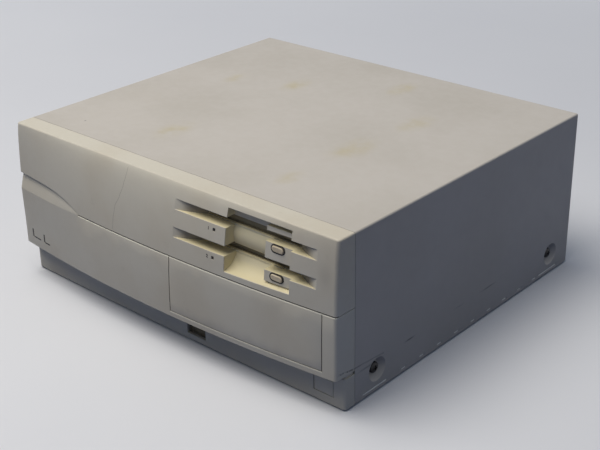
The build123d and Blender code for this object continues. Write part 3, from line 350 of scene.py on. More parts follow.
def top_stains(finish, base):
    """Faint ragged stains and one dark speck on the top."""
    ragged = finish.band(finish.noise(70.0, 5.0, 0.6), 0.25, 0.75)
    for x, y, radius in (
        (-0.123, 0.054, 0.011), (-0.061, 0.075, 0.014), (-0.064, -0.082, 0.017), (0.086, -0.018, 0.020),
        (0.092, 0.063, 0.017), (0.026, 0.130, 0.014), (0.086, -0.098, 0.012),
    ):
        patch = finish.near((x, y, TOP_Z), radius * 1.4, (0.75, 1.3, 1.0))
        base = finish.stained(base, finish.times(patch, ragged), 0.8, shade(182, 169, 130))
    speck = finish.near((-0.144, -0.118, TOP_Z), 0.0016)
    return finish.stained(base, speck, 0.8, shade(70, 62, 54))


def side_scuffs(finish, base, across, along, up):
    """Streaky scuffs low on both sides, and a long thin one near the front of the right side."""
    streaks = finish.noise(1.0, 6.0, 0.7, finish.stretched((60.0, 14.0, 420.0)))
    scuff_z, scuff_depth, half_height = 0.0285, 0.004, 0.0016
    for y, length in ((-0.122, 0.024), (-0.072, 0.010), (-0.003, 0.012), (0.040, 0.018)):
        for side in (-1, 1):
            patch = finish.near((side * HALF_WIDTH, y, scuff_z), 1.0, (scuff_depth, length, half_height))
            worn = finish.times(patch, finish.band(streaks, 0.42, 0.62))
            base = finish.stained(base, worn, 0.75, shade(72, 68, 66))
    long_scuff = finish.traced(along, up, ((-0.1440, 0.0346), (-0.1057, 0.0317)), 0.0010)
    right_side = finish.sums("GREATER_THAN", across, RIGHT_SIDE_X)
    worn = finish.times(long_scuff, right_side, finish.band(streaks, 0.4, 0.6))
    return finish.stained(base, worn, 0.6, shade(64, 60, 58))


def rubbed_lips(finish, base, across, up):
    """Painted highlights on the lips of the lanced slots along the foot of the sides, as if lit from above.
    """
    out = finish.sums("ABSOLUTE", across)
    # pale painted highlight on the lips
    lip = finish.times(
        finish.band(out, 0.1870, 0.1878), finish.band(out, 0.1896, 0.1899, 1.0, 0.0),
        finish.band(up, 0.0034, 0.0038), finish.band(up, 0.0060, 0.0064, 1.0, 0.0),
    )
    return finish.blend(lip, base, shade(240, 236, 224))


def cover_paint():
    """Greyer beige textured paint on steel, stained on the top and scuffed low on the sides, with painted
    highlights on the lanced lips.
    """
    finish = Finish("cover_paint", 0.5, specular=0.4)
    across, along, up = (finish.part_of(axis) for axis in "XYZ")
    cloud = finish.band(finish.noise(9.0, 5.0), 0.3, 0.7)
    base = finish.blend(cloud, shade(191, 184, 173), shade(184, 177, 165))
    base = top_stains(finish, base)
    base = side_scuffs(finish, base, across, along, up)
    finish.colour(rubbed_lips(finish, base, across, up))
    finish.roughness(finish.band(finish.noise(130.0, 4.0), 0.3, 0.7, 0.44, 0.58))
    finish.relief(finish.noise(1100.0, 3.0, 0.6), 0.00009, 0.6, 0.0006)
    return finish.material


# ---------------------------------------------------------------- other finishes

def zinc_steel():
    """Zinc-plated sheet, with a soft crystal mottling and a brushed grain."""
    finish = Finish("zinc_steel", 0.4, metallic=1.0)
    crystals = finish.node("ShaderNodeTexVoronoi", {"Vector": finish.place, "Scale": 260.0})
    mottle = finish.band(crystals.outputs["Distance"], 0.1, 0.8)
    finish.colour(finish.blend(mottle, shade(192, 194, 193), shade(180, 183, 184)))
    grain = finish.noise(40.0, 5.0, 0.7, finish.stretched((1.0, 60.0, 1.0)))
    finish.roughness(finish.band(grain, 0.3, 0.7, 0.3, 0.5))
    finish.relief(grain, 0.00002, 0.4)
    return finish.material


def bright_steel():
    """Plain turned or drawn steel."""
    finish = Finish("bright_steel", 0.3, metallic=1.0)
    grain = finish.noise(900.0, 3.0)
    finish.colour(finish.blend(grain, shade(196, 197, 198), shade(172, 173, 176)))
    finish.roughness(finish.band(grain, 0.2, 0.8, 0.22, 0.4))
    return finish.material


def black_screw():
    """Black oxide on steel, rubbed a little paler."""
    finish = Finish("black_screw", 0.35, metallic=0.6)
    wear = finish.band(finish.noise(700.0, 4.0), 0.5, 0.8)
    finish.colour(finish.blend(wear, shade(30, 30, 33), shade(74, 72, 72)))
    finish.roughness(finish.band(wear, 0.0, 1.0, 0.3, 0.5))
    return finish.material


def moulded(name, tone, roughness):
    """Plastic, rubber, paper or ink of one tone, with a fine grain and paler dust."""
    finish = Finish(name, roughness, specular=0.4)
    dust = finish.band(finish.noise(60.0, 5.0, 0.7), 0.45, 0.85)
    dusty = [part + 22 for part in tone]
    finish.colour(finish.blend(dust, shade(*tone), shade(*dusty)))
    finish.relief(finish.noise(1500.0, 3.0), 0.00008, 0.5)
    return finish.material


def circuit_green():
    """Lacquered circuit board with a faint pattern of tracks."""
    finish = Finish("circuit_green", 0.3, specular=0.5)
    tracks = finish.node(
        "ShaderNodeTexBrick",
        {"Vector": finish.place, "Scale": 90.0, "Mortar Size": 0.03, "Color1": shade(22, 92, 50),
         "Color2": shade(18, 80, 44), "Mortar": shade(48, 128, 74)},
    ).outputs["Color"]
    finish.colour(tracks)
    finish.relief(finish.noise(500.0, 2.0), 0.00003, 0.4)
    return finish.material


def smoked_lens():
    """Dark plastic in front of a lamp, mottled like smoked glass."""
    finish = Finish("smoked_lens", 0.3, specular=0.25)
    depth_tone = finish.noise(400.0, 2.0)
    finish.colour(finish.blend(depth_tone, shade(26, 18, 17), shade(40, 28, 26)))
    finish.roughness(finish.band(depth_tone, 0.0, 1.0, 0.25, 0.4))
    return finish.material


def hub_metal():
    """Machined aluminium, turned in fine rings round the axis of the hubs."""
    finish = Finish("hub_metal", 0.3, metallic=1.0)
    centred = finish.vectors("SUBTRACT", finish.place, HUB_AXIS).outputs[0]
    rings = finish.node("ShaderNodeTexWave", {"Vector": centred, "Scale": 400.0, "Distortion": 0.4},
                        wave_type="RINGS", rings_direction="Z").outputs["Fac"]
    finish.colour(finish.blend(rings, shade(205, 206, 208), shade(176, 178, 182)))
    finish.roughness(finish.band(rings, 0.0, 1.0, 0.24, 0.38))
    finish.relief(rings, 0.00002, 0.3)
    return finish.material


def gilt_contact():
    """Thin gold plating on contacts, dulled in patches."""
    finish = Finish("gilt_contact", 0.3, metallic=1.0)
    dull = finish.band(finish.noise(900.0, 3.0), 0.4, 0.7)
    finish.colour(finish.blend(dull, shade(214, 178, 106), shade(178, 148, 96)))
    finish.roughness(finish.band(dull, 0.0, 1.0, 0.22, 0.4))
    return finish.material


# Finishes by the names of the record's slots, and three more: keyboard_grey, ink_and_shadow_black and gilt_contact
FINISHES = {
    "front_plastic": front_plastic(),
    "cover_paint": cover_paint(),
    "screw_black": black_screw(),
    "chassis_steel": zinc_steel(),
    "bright_steel": bright_steel(),
    "hub_aluminium": hub_metal(),
    "lamp_lens": smoked_lens(),
    "board_green": circuit_green(),
    "gilt_contact": gilt_contact(),
}
for finish_name, finish_tone, finish_roughness in (
    ("foot_rubber", (36, 36, 37), 0.8),
    ("carriage_plastic", (38, 38, 40), 0.5),
    ("flap_plastic", (134, 124, 100), 0.5),
    ("socket_black", (28, 28, 30), 0.45),
    ("keyboard_grey", (132, 122, 102), 0.6),
    ("chip_black", (34, 34, 36), 0.4),
    ("speaker_paper", (46, 44, 42), 0.9),
    ("fan_plastic", (30, 30, 31), 0.5),
    ("ink_and_shadow_black", (30, 28, 30), 0.6),
):
    FINISHES[finish_name] = moulded(finish_name, finish_tone, finish_roughness)

# Nodes with a finish of their own, in place of that of their slot in the record
OWN_FINISHES = {
    "keyboard_socket": FINISHES["keyboard_grey"],
    "eject_button_1": cap_plastic("eject_button_1"),
    "eject_button_2": cap_plastic("eject_button_2"),
}
slot_of = {entry["node"]: entry["material_slot"] for entry in frame["record"]["subparts"]}
body_of = {node: body for body, nodes in frame["record"]["behaviour"]["bodies"].items() for node in nodes}
for node_name, cad_object in frame["nodes"].items():
    cad_object.data.materials.clear()
    cad_object.data.materials.append(OWN_FINISHES.get(node_name) or FINISHES[slot_of[node_name]])


# ---------------------------------------------------------------- outlines

def rectangle(width, height):
    """Corners of a rectangle round the origin."""
    half_x, half_y = width / 2, height / 2
    return [(-half_x, -half_y), (half_x, -half_y), (half_x, half_y), (-half_x, half_y)]


def circle(middle, radius, sides):
    """Points round a circle."""
    turns = [2 * math.pi * side / sides for side in range(sides)]
    return [(middle[0] + radius * math.cos(turn), middle[1] + radius * math.sin(turn)) for turn in turns]


def stadium(width, height, sides=10):
    """Points round a long shape with half-round ends."""
    radius = height / 2
    points = []
    for side, turn in ((1, -math.pi / 2), (-1, math.pi / 2)):
        for step in range(sides + 1):
            angle = turn + math.pi * step / sides
            points.append((side * (width / 2 - radius) + radius * math.cos(angle), radius * math.sin(angle)))
    return points


def cross(arm, width):
    """Corners of a cross with four equal arms."""
    half = width / 2
    right_arm = ((arm, -half), (arm, half), (half, half))
    corners = []
    for cos, sin in ((1, 0), (0, 1), (-1, 0), (0, -1)):
        corners += [(x * cos - y * sin, x * sin + y * cos) for x, y in right_arm]
    return corners


def leaning_sides(width, height):
    """Outline of the inside of a shell whose lower side is the wide one, with cut corners."""
    lean = height / math.tan(math.radians(80))
    half_foot, half_top = width / 2, width / 2 - lean
    cut = 0.0009
    return [(-half_foot + cut, -height / 2), (half_foot - cut, -height / 2), (half_foot, -height / 2 + cut),
            (half_top, height / 2 - cut), (half_top - cut, height / 2), (-half_top + cut, height / 2),
            (-half_top, height / 2 - cut), (-half_foot, -height / 2 + cut)]


# ---------------------------------------------------------------- making and placing pieces

def smooth(shape, angle=35.0):
    """Soft shading, except over edges that turn more than an angle."""
    for face in shape.faces:
        face.smooth = True
    for edge in shape.edges:
        edge.smooth = len(edge.link_faces) == 2 and edge.calc_face_angle(0.0) < math.radians(angle)


def thickened(shape, faces, shift):
    """Close flat faces to a solid whose other side is moved by a shift, and give the corners of that side."""
    moved = bmesh.ops.extrude_face_region(shape, geom=faces, use_keep_orig=True)["geom"]
    corners = [item for item in moved if isinstance(item, bmesh.types.BMVert)]
    bmesh.ops.translate(shape, verts=corners, vec=shift)
    bmesh.ops.recalc_face_normals(shape, faces=shape.faces)
    return corners


def plate(shape, rings, depth):
    """Add a plate under the XY plane, from the rings of its outline and of its holes."""
    edges = []
    for ring in rings:
        corners = [shape.verts.new((x, y, 0.0)) for x, y in ring]
        edges += [shape.edges.new((corners[n - 1], corners[n])) for n in range(len(corners))]
    filled = bmesh.ops.triangle_fill(shape, use_beauty=True, use_dissolve=False, edges=edges,
                                     normal=(0, 0, 1))
    faces = [item for item in filled["geom"] if isinstance(item, bmesh.types.BMFace)]
    thickened(shape, faces, (0.0, 0.0, -depth))


def block(shape, low, high, rounding):
    """Add a box between two corners, its edges rounded."""
    made = bmesh.ops.create_cube(shape, size=1.0)["verts"]
    bmesh.ops.scale(shape, verts=made, vec=[top - foot for foot, top in zip(low, high)])
    bmesh.ops.translate(shape, verts=made, vec=[(top + foot) / 2 for foot, top in zip(low, high)])
    edges = list({edge for corner in made for edge in corner.link_edges})
    bmesh.ops.bevel(shape, geom=edges, offset=rounding, affect="EDGES", segments=2, profile=0.5,
                    material=-1, clamp_overlap=True)


def turned(shape, profile, steps=32):
    """Add a solid turned about Z, from pairs of radius and height that start and end on the axis."""
    corners = [shape.verts.new((radius, 0.0, height)) for radius, height in profile]
    line = [shape.edges.new(pair) for pair in zip(corners, corners[1:])]
    bmesh.ops.spin(shape, geom=corners + line, cent=(0, 0, 0), axis=(0, 0, 1), dvec=(0, 0, 0),
                   angle=2 * math.pi, steps=steps, use_merge=True, use_duplicate=False)
    bmesh.ops.remove_doubles(shape, verts=shape.verts, dist=1e-6)
    bmesh.ops.recalc_face_normals(shape, faces=shape.faces)


def facing(x, y, z, direction):
    """Matrix that lays a shape's XY plane upright at a place: its Z then looks left, right, front or back."""
    turns = {
        "right": Matrix(((0, 0, 1), (1, 0, 0), (0, 1, 0))),
        "left": Matrix(((0, 0, -1), (-1, 0, 0), (0, 1, 0))),
        "front": Matrix(((1, 0, 0), (0, 0, -1), (0, 1, 0))),
        "back": Matrix(((-1, 0, 0), (0, 0, 1), (0, 1, 0))),
    }
    return Matrix.Translation((x, y, z)) @ turns[direction].to_4x4()


def put(shape, matrix):
    """Move and turn a whole shape."""
    bmesh.ops.transform(shape, matrix=matrix, verts=shape.verts)


def merged(parts, places):
    """One bmesh of copies of shapes, each moved and turned by the matrices of its own list."""
    whole = bmesh.new()
    mesh = bpy.data.meshes.new("spare")
    for part, matrices in zip(parts, places):
        for matrix in matrices:
            part.to_mesh(mesh)
            before = len(whole.verts)
            whole.from_mesh(mesh)
            whole.verts.ensure_lookup_table()
            bmesh.ops.transform(whole, matrix=matrix, verts=whole.verts[before:])
        part.free()
    bpy.data.meshes.remove(mesh)
    return whole


def keep(shape, name, body, finish, replaced=()):
    """Turn a finished bmesh into a piece that moves with a body, in place of the nodes it stands for."""
    mesh = bpy.data.meshes.new(name)
    shape.to_mesh(mesh)
    shape.free()
    piece = bpy.data.objects.new(name, mesh)
    bpy.context.scene.collection.objects.link(piece)
    mesh.materials.append(FINISHES[finish])
    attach(piece, body)
    if replaced:
        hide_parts(*replaced)


def middle_of(node):
    """The middle of a node as seen from the front: its place to the right, and its height."""
    low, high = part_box(node)
    return (low[0] + high[0]) / 2, (low[2] + high[2]) / 2


surfaces = {}


def skin(node, x, z):
    """Where the outer surface of a node lies, seen from the front."""
    if node not in surfaces:
        mesh = frame["nodes"][node].data
        surfaces[node] = BVHTree.FromPolygons([corner.co for corner in mesh.vertices],
                                              [tuple(face.vertices) for face in mesh.polygons])
    place = surfaces[node].ray_cast(Vector((x, -1.0, z)), Vector((0.0, 1.0, 0.0)))[0]
    assert place, (node, x, z)
    return place.y


# ---------------------------------------------------------------- screws

def cross_headed(profile, arm, width, depth):
    """A turned screw head with a cross recess that narrows as it goes down."""
    head, cutter = bmesh.new(), bmesh.new()
    turned(head, profile)
    above, narrowed = 0.001, 0.55
    rim_z = max(height for _, height in profile) + above
    rim = cutter.faces.new([cutter.verts.new((x, y, rim_z)) for x, y in cross(arm, width)])
    foot = thickened(cutter, [rim], (0, 0, -above - depth))
    bmesh.ops.scale(cutter, verts=foot, vec=(narrowed, narrowed, 1.0))
    holders = []
    for shape in (head, cutter):
        mesh = bpy.data.meshes.new("spare")
        shape.to_mesh(mesh)
        shape.free()
        holder = bpy.data.objects.new("spare", mesh)
        bpy.context.scene.collection.objects.link(holder)
        holders.append(holder)
    cut = holders[0].modifiers.new("recess", "BOOLEAN")
    cut.operation = "DIFFERENCE"
    cut.object = holders[1]
    result = bmesh.new()
    result.from_object(holders[0], bpy.context.evaluated_depsgraph_get())
    for holder in holders:
        bpy.data.objects.remove(holder)
    smooth(result)
    return result


def cover_screws():
    """Domed black screws in the four dished seats."""
    low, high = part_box("cover_screws")
    seat_x, seat_z, head_radius = 0.1854, 0.0206, 0.005
    profile = (
        (0.0, 0.0), (head_radius, 0.0), (head_radius, 0.0008), (0.0047, 0.0016), (0.0038, 0.0024),
        (0.0022, 0.0030), (0.0, 0.0032),
    )
    head = cross_headed(profile, arm=0.0030, width=0.0013, depth=0.0022)
    places = []
    for y in (low[1] + head_radius, high[1] - head_radius):
        places += [facing(seat_x, y, seat_z, "right"), facing(-seat_x, y, seat_z, "left")]
    keep(merged([head], [places]), "domed_screws", "case", "screw_black", ["cover_screws"])


def slot_screws():
    """Round heads with a cross recess and a washer, one on each blanking plate."""
    profile = ((0.0, 0.0), (0.0030, 0.0), (0.0031, 0.0003), (0.0031, 0.0013), (0.0026, 0.0017), (0.0, 0.0018))
    head = cross_headed(profile, arm=0.0020, width=0.0009, depth=0.0012)
    washer_radius, washer_depth = 0.0044, 0.00045
    washer = bmesh.new()
    plate(washer, [circle((0, 0), washer_radius, 24)], washer_depth)
    washer_y, head_y = SHEET_BACK_Y + 0.00046, SHEET_BACK_Y + 0.00047
    lowest_z, slot_pitch = 0.056, 0.024
    middle_x, _ = middle_of("slot_screws")
    levels = [lowest_z + slot_pitch * level for level in range(4)]
    heads = [facing(middle_x, head_y, z, "back") for z in levels]
    washers = [facing(middle_x, washer_y, z, "back") for z in levels]
    keep(merged([head, washer], [heads, washers]), "plate_screws", "case", "bright_steel",
         ["slot_screws"])


# ---------------------------------------------------------------- lower front and file bay cover

def draw_crease(shape):
    """Draw out the crease, which fades into the skin above it, below it and towards the bend."""
    for level in (CREASE_FOOT_Z, CREASE_Z):
        bmesh.ops.bisect_plane(shape, geom=shape.verts[:] + shape.edges[:] + shape.faces[:], dist=1e-6,
                               plane_co=(0.0, 0.0, level), plane_no=(0.0, 0.0, 1.0))
    for corner in shape.verts:
        x, y, z = corner.co
        if x < SEAM_BEND_X and y < SKIN_BACK_Y:
            if z > CREASE_Z:
                away = (z - CREASE_Z) / CREASE_FADE_UP
            else:
                away = (CREASE_Z - z) / (CREASE_Z - CREASE_FOOT_Z)
            corner.co.y -= CREASE_HEIGHT * max(0.0, 1.0 - away) * min(1.0, (SEAM_BEND_X - x) / CREASE_FADE_IN)


def on_crease(edge):
    """Whether an edge is part of that crease."""
    return all(abs(end.co.z - CREASE_Z) < 1e-5 and end.co.x < SEAM_BEND_X and end.co.y < SKIN_BACK_Y
               for end in edge.verts)


def seam_edge(edge):
    """Whether an edge lies along the top of the lower front, where it meets the face."""
    level = all(abs(corner.co.z - SEAM_Z) < 2e-5 for corner in edge.verts)
    flat, upright = sorted(edge.link_faces, key=lambda face: -face.normal.z)
    return level and flat.normal.z > 0.9 and upright.normal.y < -0.5


def cover_edge(edge):
    """Whether an edge goes round the face of the file bay cover."""
    leaning = [face for face in edge.link_faces if face.normal.y < -0.5]
    return len(leaning) == 1 and edge.calc_face_angle(0.0) > math.radians(60)


def softened(node, piece_name, width, wanted, with_crease=False):
    """A copy of a node whose wanted edges are rounded, in its place."""
    shape = bmesh.new()
    shape.from_mesh(frame["nodes"][node].data)
    bmesh.ops.remove_doubles(shape, verts=shape.verts, dist=2e-6)
    bmesh.ops.dissolve_limit(shape, angle_limit=math.radians(0.4), verts=shape.verts, edges=shape.edges)
    edges = [edge for edge in shape.edges if len(edge.link_faces) == 2 and wanted(edge)]
    bmesh.ops.bevel(shape, geom=edges, offset=width, affect="EDGES", segments=3, profile=0.5, material=-1,
                    clamp_overlap=False)
    if with_crease:
        draw_crease(shape)
    bmesh.ops.triangulate(shape, faces=shape.faces)
    smooth(shape, 32.0)
    if with_crease:
        for edge in shape.edges:
            edge.smooth = edge.smooth and not on_crease(edge)
    finish = slot_of[node]
    keep(shape, piece_name, body_of[node], finish, [node])


# ---------------------------------------------------------------- lamps, buttons and slots

def lamp_lenses():
    """Smoked windows, almost flush with the front, the narrow ones with a flange behind it."""
    proud, lens_depth, flange_start = 0.00026, 0.0024, 0.0022
    lens_rounding, flange_rounding = 0.00012, 0.0002
    for node in ("power_lamp", "disk_lamp", "drive_lamp_1", "drive_lamp_2"):
        low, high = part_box(node)
        middle_x, middle_z = middle_of(node)
        narrow = node in ("power_lamp", "disk_lamp")
        half_x, half_z = (0.00094, 0.00404) if narrow else (0.00131, 0.00131)
        shape = bmesh.new()
        block(shape, (middle_x - half_x, low[1] - proud, middle_z - half_z),
              (middle_x + half_x, low[1] + lens_depth, middle_z + half_z), lens_rounding)
        if narrow:
            block(shape, (low[0], low[1] + flange_start, low[2]), high, flange_rounding)
        smooth(shape)
        keep(shape, node.replace("lamp", "lens"), "case", "lamp_lens", [node])


def button_wells():
    """Black linings of the holes round the eject buttons, with a thin collar on the face: painted shadow, a
    black sheet laid where the gaps round the buttons are in shade.
    """
    reach_x, reach_z = 0.0075, 0.0034
    lining_depth, lining_sunk, collar_depth, collar_proud = 0.0072, 0.0002, 0.0004, 0.00012
    for number in (1, 2):
        middle_x, middle_z = middle_of(f"eject_button_{number}")
        above = skin("upper_bezel", middle_x, middle_z + reach_z)
        below = skin("upper_bezel", middle_x, middle_z - reach_z)
        right = skin("upper_bezel", middle_x + reach_x, middle_z)
        left = skin("upper_bezel", middle_x - reach_x, middle_z)
        slope, rise = (right - left) / (2 * reach_x), (above - below) / (2 * reach_z)
        lining, collar = bmesh.new(), bmesh.new()
        plate(lining, [stadium(0.01316, 0.00636), stadium(0.01270, 0.00590)], lining_depth)
        put(lining, facing(middle_x, above + lining_sunk, middle_z, "front"))
        plate(collar, [stadium(0.01420, 0.00732, 14), stadium(0.01234, 0.00554, 14)], collar_depth)
        put(collar, facing(middle_x, 0.0, middle_z, "front"))
        face_y = above - rise * reach_z
        for corner in collar.verts:
            lean = slope * (corner.co.x - middle_x) + rise * (corner.co.z - middle_z)
            corner.co.y += face_y + lean - collar_proud
        # the lining and the collar are painted shadow, in the black also used for ink
        well = merged([lining, collar], [[Matrix.Identity(4)]] * 2)
        keep(well, f"gap_shadow_ring_{number}", "case", "ink_and_shadow_black")


def mouth_sills():
    """Beige sills that close the joint between the front and each drive's mouth."""
    left_x, right_x = 0.0520, 0.1500
    ahead_of_frame, under_flap, foot_drop, top_drop = 0.00028, 0.0002, 0.00055, 0.00026
    for number in (1, 2):
        flap_low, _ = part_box(f"drive_flap_{number}")
        frame_low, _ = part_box(f"drive_frame_{number}")
        shape = bmesh.new()
        block(shape, (left_x, frame_low[1] - ahead_of_frame, flap_low[2] - foot_drop),
              (right_x, flap_low[1] + under_flap, flap_low[2] - top_drop), 0.0001)
        smooth(shape)
        keep(shape, f"mouth_sill_{number}", "case", "flap_plastic")


# ---------------------------------------------------------------- printing

def inked_on(shape, node):
    """Lay a flat upright shape on the surface of a node, as a closed film of ink that sinks in behind."""
    proud, thickness = 0.00005, 0.0001
    for corner in shape.verts:
        corner.co.y = skin(node, corner.co.x, corner.co.z) - proud
    thickened(shape, shape.faces[:], (0.0, thickness, 0.0))


def drive_numbers():
    """The number of each drive, beside its lamp."""
    number_x, foot_below_lamp, size, thickening = 0.0630, 0.0012, 0.0037, 0.00013
    for number in (1, 2):
        words = bpy.data.curves.new("spare", "FONT")
        words.body = str(number)
        words.size = size
        words.align_x = "CENTER"
        words.offset = thickening
        holder = bpy.data.objects.new("spare", words)
        bpy.context.scene.collection.objects.link(holder)
        bpy.context.view_layer.update()
        shape = bmesh.new()
        shape.from_mesh(bpy.data.meshes.new_from_object(holder))
        bpy.data.objects.remove(holder)
        bmesh.ops.triangulate(shape, faces=shape.faces)
        _, lamp_z = middle_of(f"drive_lamp_{number}")
        put(shape, facing(number_x, 0.0, lamp_z - foot_below_lamp, "front"))
        inked_on(shape, "upper_bezel")
        keep(shape, f"drive_number_{number}", "case", "ink_and_shadow_black")


def lamp_dashes():
    """A plain dash after each lamp window at the lower left."""
    height, past_lamp, above_foot = 0.00125, 0.0012, 0.0019
    for node, length in (("power_lamp", 0.0113), ("disk_lamp", 0.0076)):
        low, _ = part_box(node)
        start_x = middle_of(node)[0] + past_lamp
        shape = bmesh.new()
        bmesh.ops.create_grid(shape, x_segments=8, y_segments=1, size=0.5)
        bmesh.ops.scale(shape, vec=(length, height, 1.0), verts=shape.verts)
        put(shape, facing(start_x + length / 2, 0.0, low[2] + above_foot, "front"))
        inked_on(shape, "lower_bezel")
        keep(shape, node + "_dash", "case", "ink_and_shadow_black")


# ---------------------------------------------------------------- sockets

def contact_places(count, pitch):
    """Places of contacts in two rows, the lower one longer by a contact and half a pitch to each side."""
    longest = (count + 1) // 2
    places = []
    for in_row, level in ((longest, -0.5 * pitch), (longest - 1, 0.5 * pitch)):
        places += [((place - (in_row - 1) / 2) * pitch, level) for place in range(in_row)]
    return places


def insulator(node, outline, places, male):
    """Floor of a port's shell, and over it, in a female port, a block with a hole at each place."""
    middle_x, middle_z = middle_of(node)
    floor_depth, block_depth, block_inset, hole_radius = 0.0001, 0.0017, 0.0009, 0.00062
    floor = bmesh.new()
    plate(floor, [outline], floor_depth)
    layers, depths = [floor], [[facing(middle_x, PORT_FLOOR_Y, middle_z, "back")]]
    if not male:
        holed = bmesh.new()
        plate(holed, [outline] + [circle(place, hole_radius, 8) for place in places], block_depth)
        layers.append(holed)
        depths.append([facing(middle_x, SHELL_BACK_Y - block_inset, middle_z, "back")])
    keep(merged(layers, depths), node + "_insulator", "case", "socket_black")


def pins(node, places):
    """Gilt pins that stand on the floor of a male port."""
    middle_x, middle_z = middle_of(node)
    profile = ((0.0, 0.0), (0.0005, 0.0), (0.0005, 0.0022), (0.0003, 0.0026), (0.0, 0.0027))
    pin = bmesh.new()
    turned(pin, profile, 10)
    smooth(pin)
    stands = [facing(middle_x - x, PORT_FLOOR_Y, middle_z + z, "back") for x, z in places]
    keep(merged([pin], [stands]), node + "_pins", "case", "gilt_contact")


def jack_posts(node):
    """Hexagonal posts with a hole for a screw, one on each side of a port."""
    low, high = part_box(node)
    middle_x, middle_z = middle_of(node)
    length, beside_shell, corner_radius, hole_radius = 0.0024, 0.0030, 0.0028, 0.0013
    post = bmesh.new()
    plate(post, [circle((0, 0), corner_radius, 6), circle((0, 0), hole_radius, 12)], length)
    reach = (high[0] - low[0]) / 2 + beside_shell
    stands = [facing(middle_x + side * reach, SHEET_BACK_Y + length, middle_z, "back") for side in (-1, 1)]
    keep(merged([post], [stands]), node + "_posts", "case", "bright_steel")


def port_contacts():
    """Insulators, pins and jack posts of the three many-pin ports."""
    for node, width, height, count, pitch, male in (
        ("serial_port", 0.0338, 0.0068, 25, 0.00254, True),
        ("printer_port", 0.0368, 0.0053, 25, 0.00264, False),
        ("display_port", 0.0258, 0.0068, 15, 0.00300, False),
    ):
        places = contact_places(count, pitch)
        insulator(node, leaning_sides(width, height), places, male)
        if male:
            pins(node, places)
        jack_posts(node)


def round_sockets():
    """Contact faces of the keyboard socket at the front and the mouse socket at the rear."""
    for node, radius, way, face_y in (
        ("keyboard_socket", 0.00335, "front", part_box("keyboard_socket")[0][1] + 0.0008),
        ("mouse_port", 0.0049, "back", SHELL_BACK_Y - 0.0012),
    ):
        middle_x, middle_z = middle_of(node)
        spread, hole_radius, depth = radius * 0.58, radius * 0.13, 0.0018
        turns = [math.radians(angle) for angle in (90, 150, 210, 270, 330, 30)]
        places = [(spread * math.cos(turn), spread * math.sin(turn)) for turn in turns]
        holes = [circle(place, hole_radius, 8) for place in places]
        key = rectangle(radius * 0.32, radius * 0.44)
        shape = bmesh.new()
        plate(shape, [circle((0, 0), radius, 32)] + holes + [key], depth)
        put(shape, facing(middle_x, face_y, middle_z, way))
        keep(shape, node + "_face", "case", "chip_black")


def socket_surround():
    """Grey collar that closes the opening in the front rail round the keyboard socket."""
    low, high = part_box("keyboard_socket")
    middle_x, middle_z = middle_of("keyboard_socket")
    width, height = high[0] - low[0] + 0.004, high[2] - low[2] - 0.001
    tube_depth, tube_ahead, lip_depth, lip_ahead = 0.0026, 0.0024, 0.0008, 0.0004
    tube, lip = bmesh.new(), bmesh.new()
    tube_rings = [rectangle(width + 0.0016, height + 0.0016), rectangle(width, height)]
    lip_rings = [rectangle(width + 0.0002, height + 0.0002), rectangle(width - 0.0048, height - 0.0008)]
    plate(tube, tube_rings, tube_depth)
    plate(lip, lip_rings, lip_depth)
    shape = merged([tube, lip], [[facing(middle_x, low[1] - tube_ahead, middle_z, "front")],
                                 [facing(middle_x, low[1] - lip_ahead, middle_z, "front")]])
    keep(shape, "socket_surround", "case", "keyboard_grey")


def inlet_blades():
    """Bright sleeves on the three blades of the mains inlet."""
    _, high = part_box("mains_inlet")
    middle_x, middle_z = middle_of("mains_inlet")
    half_x, half_z, root_y, tip_y = 0.0012, 0.0023, high[1] - 0.0170, high[1] - 0.0048
    shape = bmesh.new()
    for x, z in ((0.0, 0.002), (-0.007, -0.002), (0.007, -0.002)):
        block(shape, (middle_x + x - half_x, root_y, middle_z + z - half_z),
              (middle_x + x + half_x, tip_y, middle_z + z + half_z), 0.0004)
    smooth(shape)
    keep(shape, "inlet_blades", "case", "bright_steel")


cover_screws()
slot_screws()
inlet_blades()
socket_surround()
softened("lower_bezel", "lower_front", 0.0007, seam_edge, with_crease=True)
softened("file_bay_cover", "bay_cover", 0.0005, cover_edge)
lamp_lenses()
button_wells()
mouth_sills()
drive_numbers()
lamp_dashes()
port_contacts()
round_sockets()


# ---------------------------------------------------------------- floor, light and camera

def seen_directly(tree):
    """1 for what the camera sees itself, in a mirror or through glass, and 0 for light on its way."""
    path = tree.nodes.new("ShaderNodeLightPath")
    total = path.outputs["Is Camera Ray"]
    for ray in ("Is Glossy Ray", "Is Transmission Ray"):
        step = tree.nodes.new("ShaderNodeMath")
        step.use_clamp = True
        tree.links.new(total, step.inputs[0])
        tree.links.new(path.outputs[ray], step.inputs[1])
        total = step.outputs[0]
    return total


def pale_floor():
    """A floor that looks pale, and glows to the camera far out, but throws little light on the case."""
    finish = Finish("studio_floor", 0.9, specular=0.1)
    pale = finish.blend(finish.noise(3.0), shade(228, 228, 228), shade(222, 222, 223))
    direct = seen_directly(finish.tree)
    finish.colour(finish.blend(direct, shade(44, 60, 104), pale))
    finish.tree.links.new(pale, finish.shader.inputs["Emission Color"])
    away = finish.vectors("LENGTH", finish.place).outputs["Value"]
    glow = finish.times(direct, finish.band(away, 0.35, 2.5, 0.0, 0.55))
    finish.tree.links.new(glow, finish.shader.inputs["Emission Strength"])
    bpy.ops.mesh.primitive_plane_add(size=30)
    floor = bpy.context.object
    floor.name = "studio_floor"
    floor.data.materials.append(finish.material)


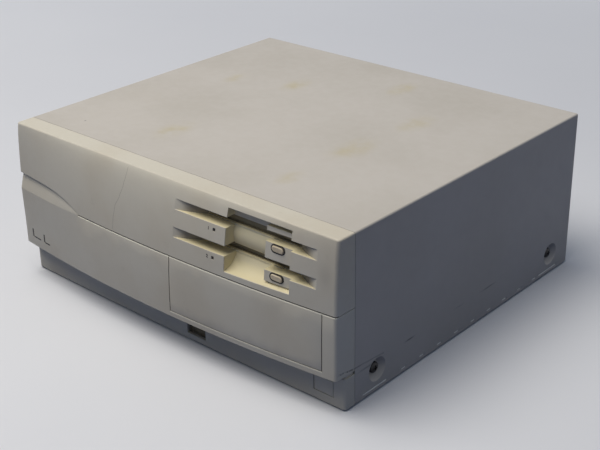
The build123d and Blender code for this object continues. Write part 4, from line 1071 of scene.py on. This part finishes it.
def key_lamp():
    """A broad soft lamp above the front, a little to its left, aimed at the case."""
    lamp = bpy.data.lights.new("key_lamp", "AREA")
    lamp.size = 1.5
    lamp.energy = 36.5
    lamp.color = (1.0, 0.965, 0.918)
    place, aim = Vector((-0.40, -0.62, 1.95)), Vector((0, 0, 0.1))
    holder = bpy.data.objects.new("key_lamp", lamp)
    holder.location = place
    holder.rotation_euler = (aim - place).to_track_quat("-Z", "Y").to_euler()
    bpy.context.scene.collection.objects.link(holder)


def sky():
    """A weak cool sky for light, and a nearly white backdrop for what is seen."""
    world = bpy.data.worlds.new("studio_sky")
    world.use_nodes = True
    tree = world.node_tree
    light = tree.nodes["Background"]
    light.inputs["Color"].default_value = shade(196, 214, 246)
    light.inputs["Strength"].default_value = 0.255
    backdrop = tree.nodes.new("ShaderNodeBackground")
    backdrop.inputs["Color"].default_value = shade(236, 237, 239)
    backdrop.inputs["Strength"].default_value = 1.0
    either = tree.nodes.new("ShaderNodeMixShader")
    tree.links.new(seen_directly(tree), either.inputs[0])
    tree.links.new(light.outputs[0], either.inputs[1])
    tree.links.new(backdrop.outputs[0], either.inputs[2])
    tree.links.new(either.outputs[0], tree.nodes["World Output"].inputs["Surface"])
    bpy.context.scene.world = world


def camera():
    """Camera to the right of the front and above, slightly rolled."""
    place = Vector((0.68139, -0.74742, 0.52975))
    azimuth, elevation, roll = (math.radians(angle) for angle in (41.99, 25.58, -1.05))
    forward = Vector((
        -math.sin(azimuth) * math.cos(elevation),
        math.cos(azimuth) * math.cos(elevation),
        -math.sin(elevation),
    ))
    level_right = Vector((math.cos(azimuth), math.sin(azimuth), 0))
    level_up = level_right.cross(forward)
    right = level_right * math.cos(roll) + level_up * math.sin(roll)
    up = level_up * math.cos(roll) - level_right * math.sin(roll)
    aim = Matrix((right, up, -forward)).transposed().to_4x4()
    lens = bpy.data.cameras.new("camera")
    lens.sensor_width = 36.0
    lens.lens = 71.92
    holder = bpy.data.objects.new("camera", lens)
    holder.matrix_world = Matrix.Translation(place) @ aim
    bpy.context.scene.collection.objects.link(holder)
    bpy.context.scene.camera = holder


pale_floor()
key_lamp()
sky()
camera()
bpy.context.scene.view_settings.view_transform = "Standard"
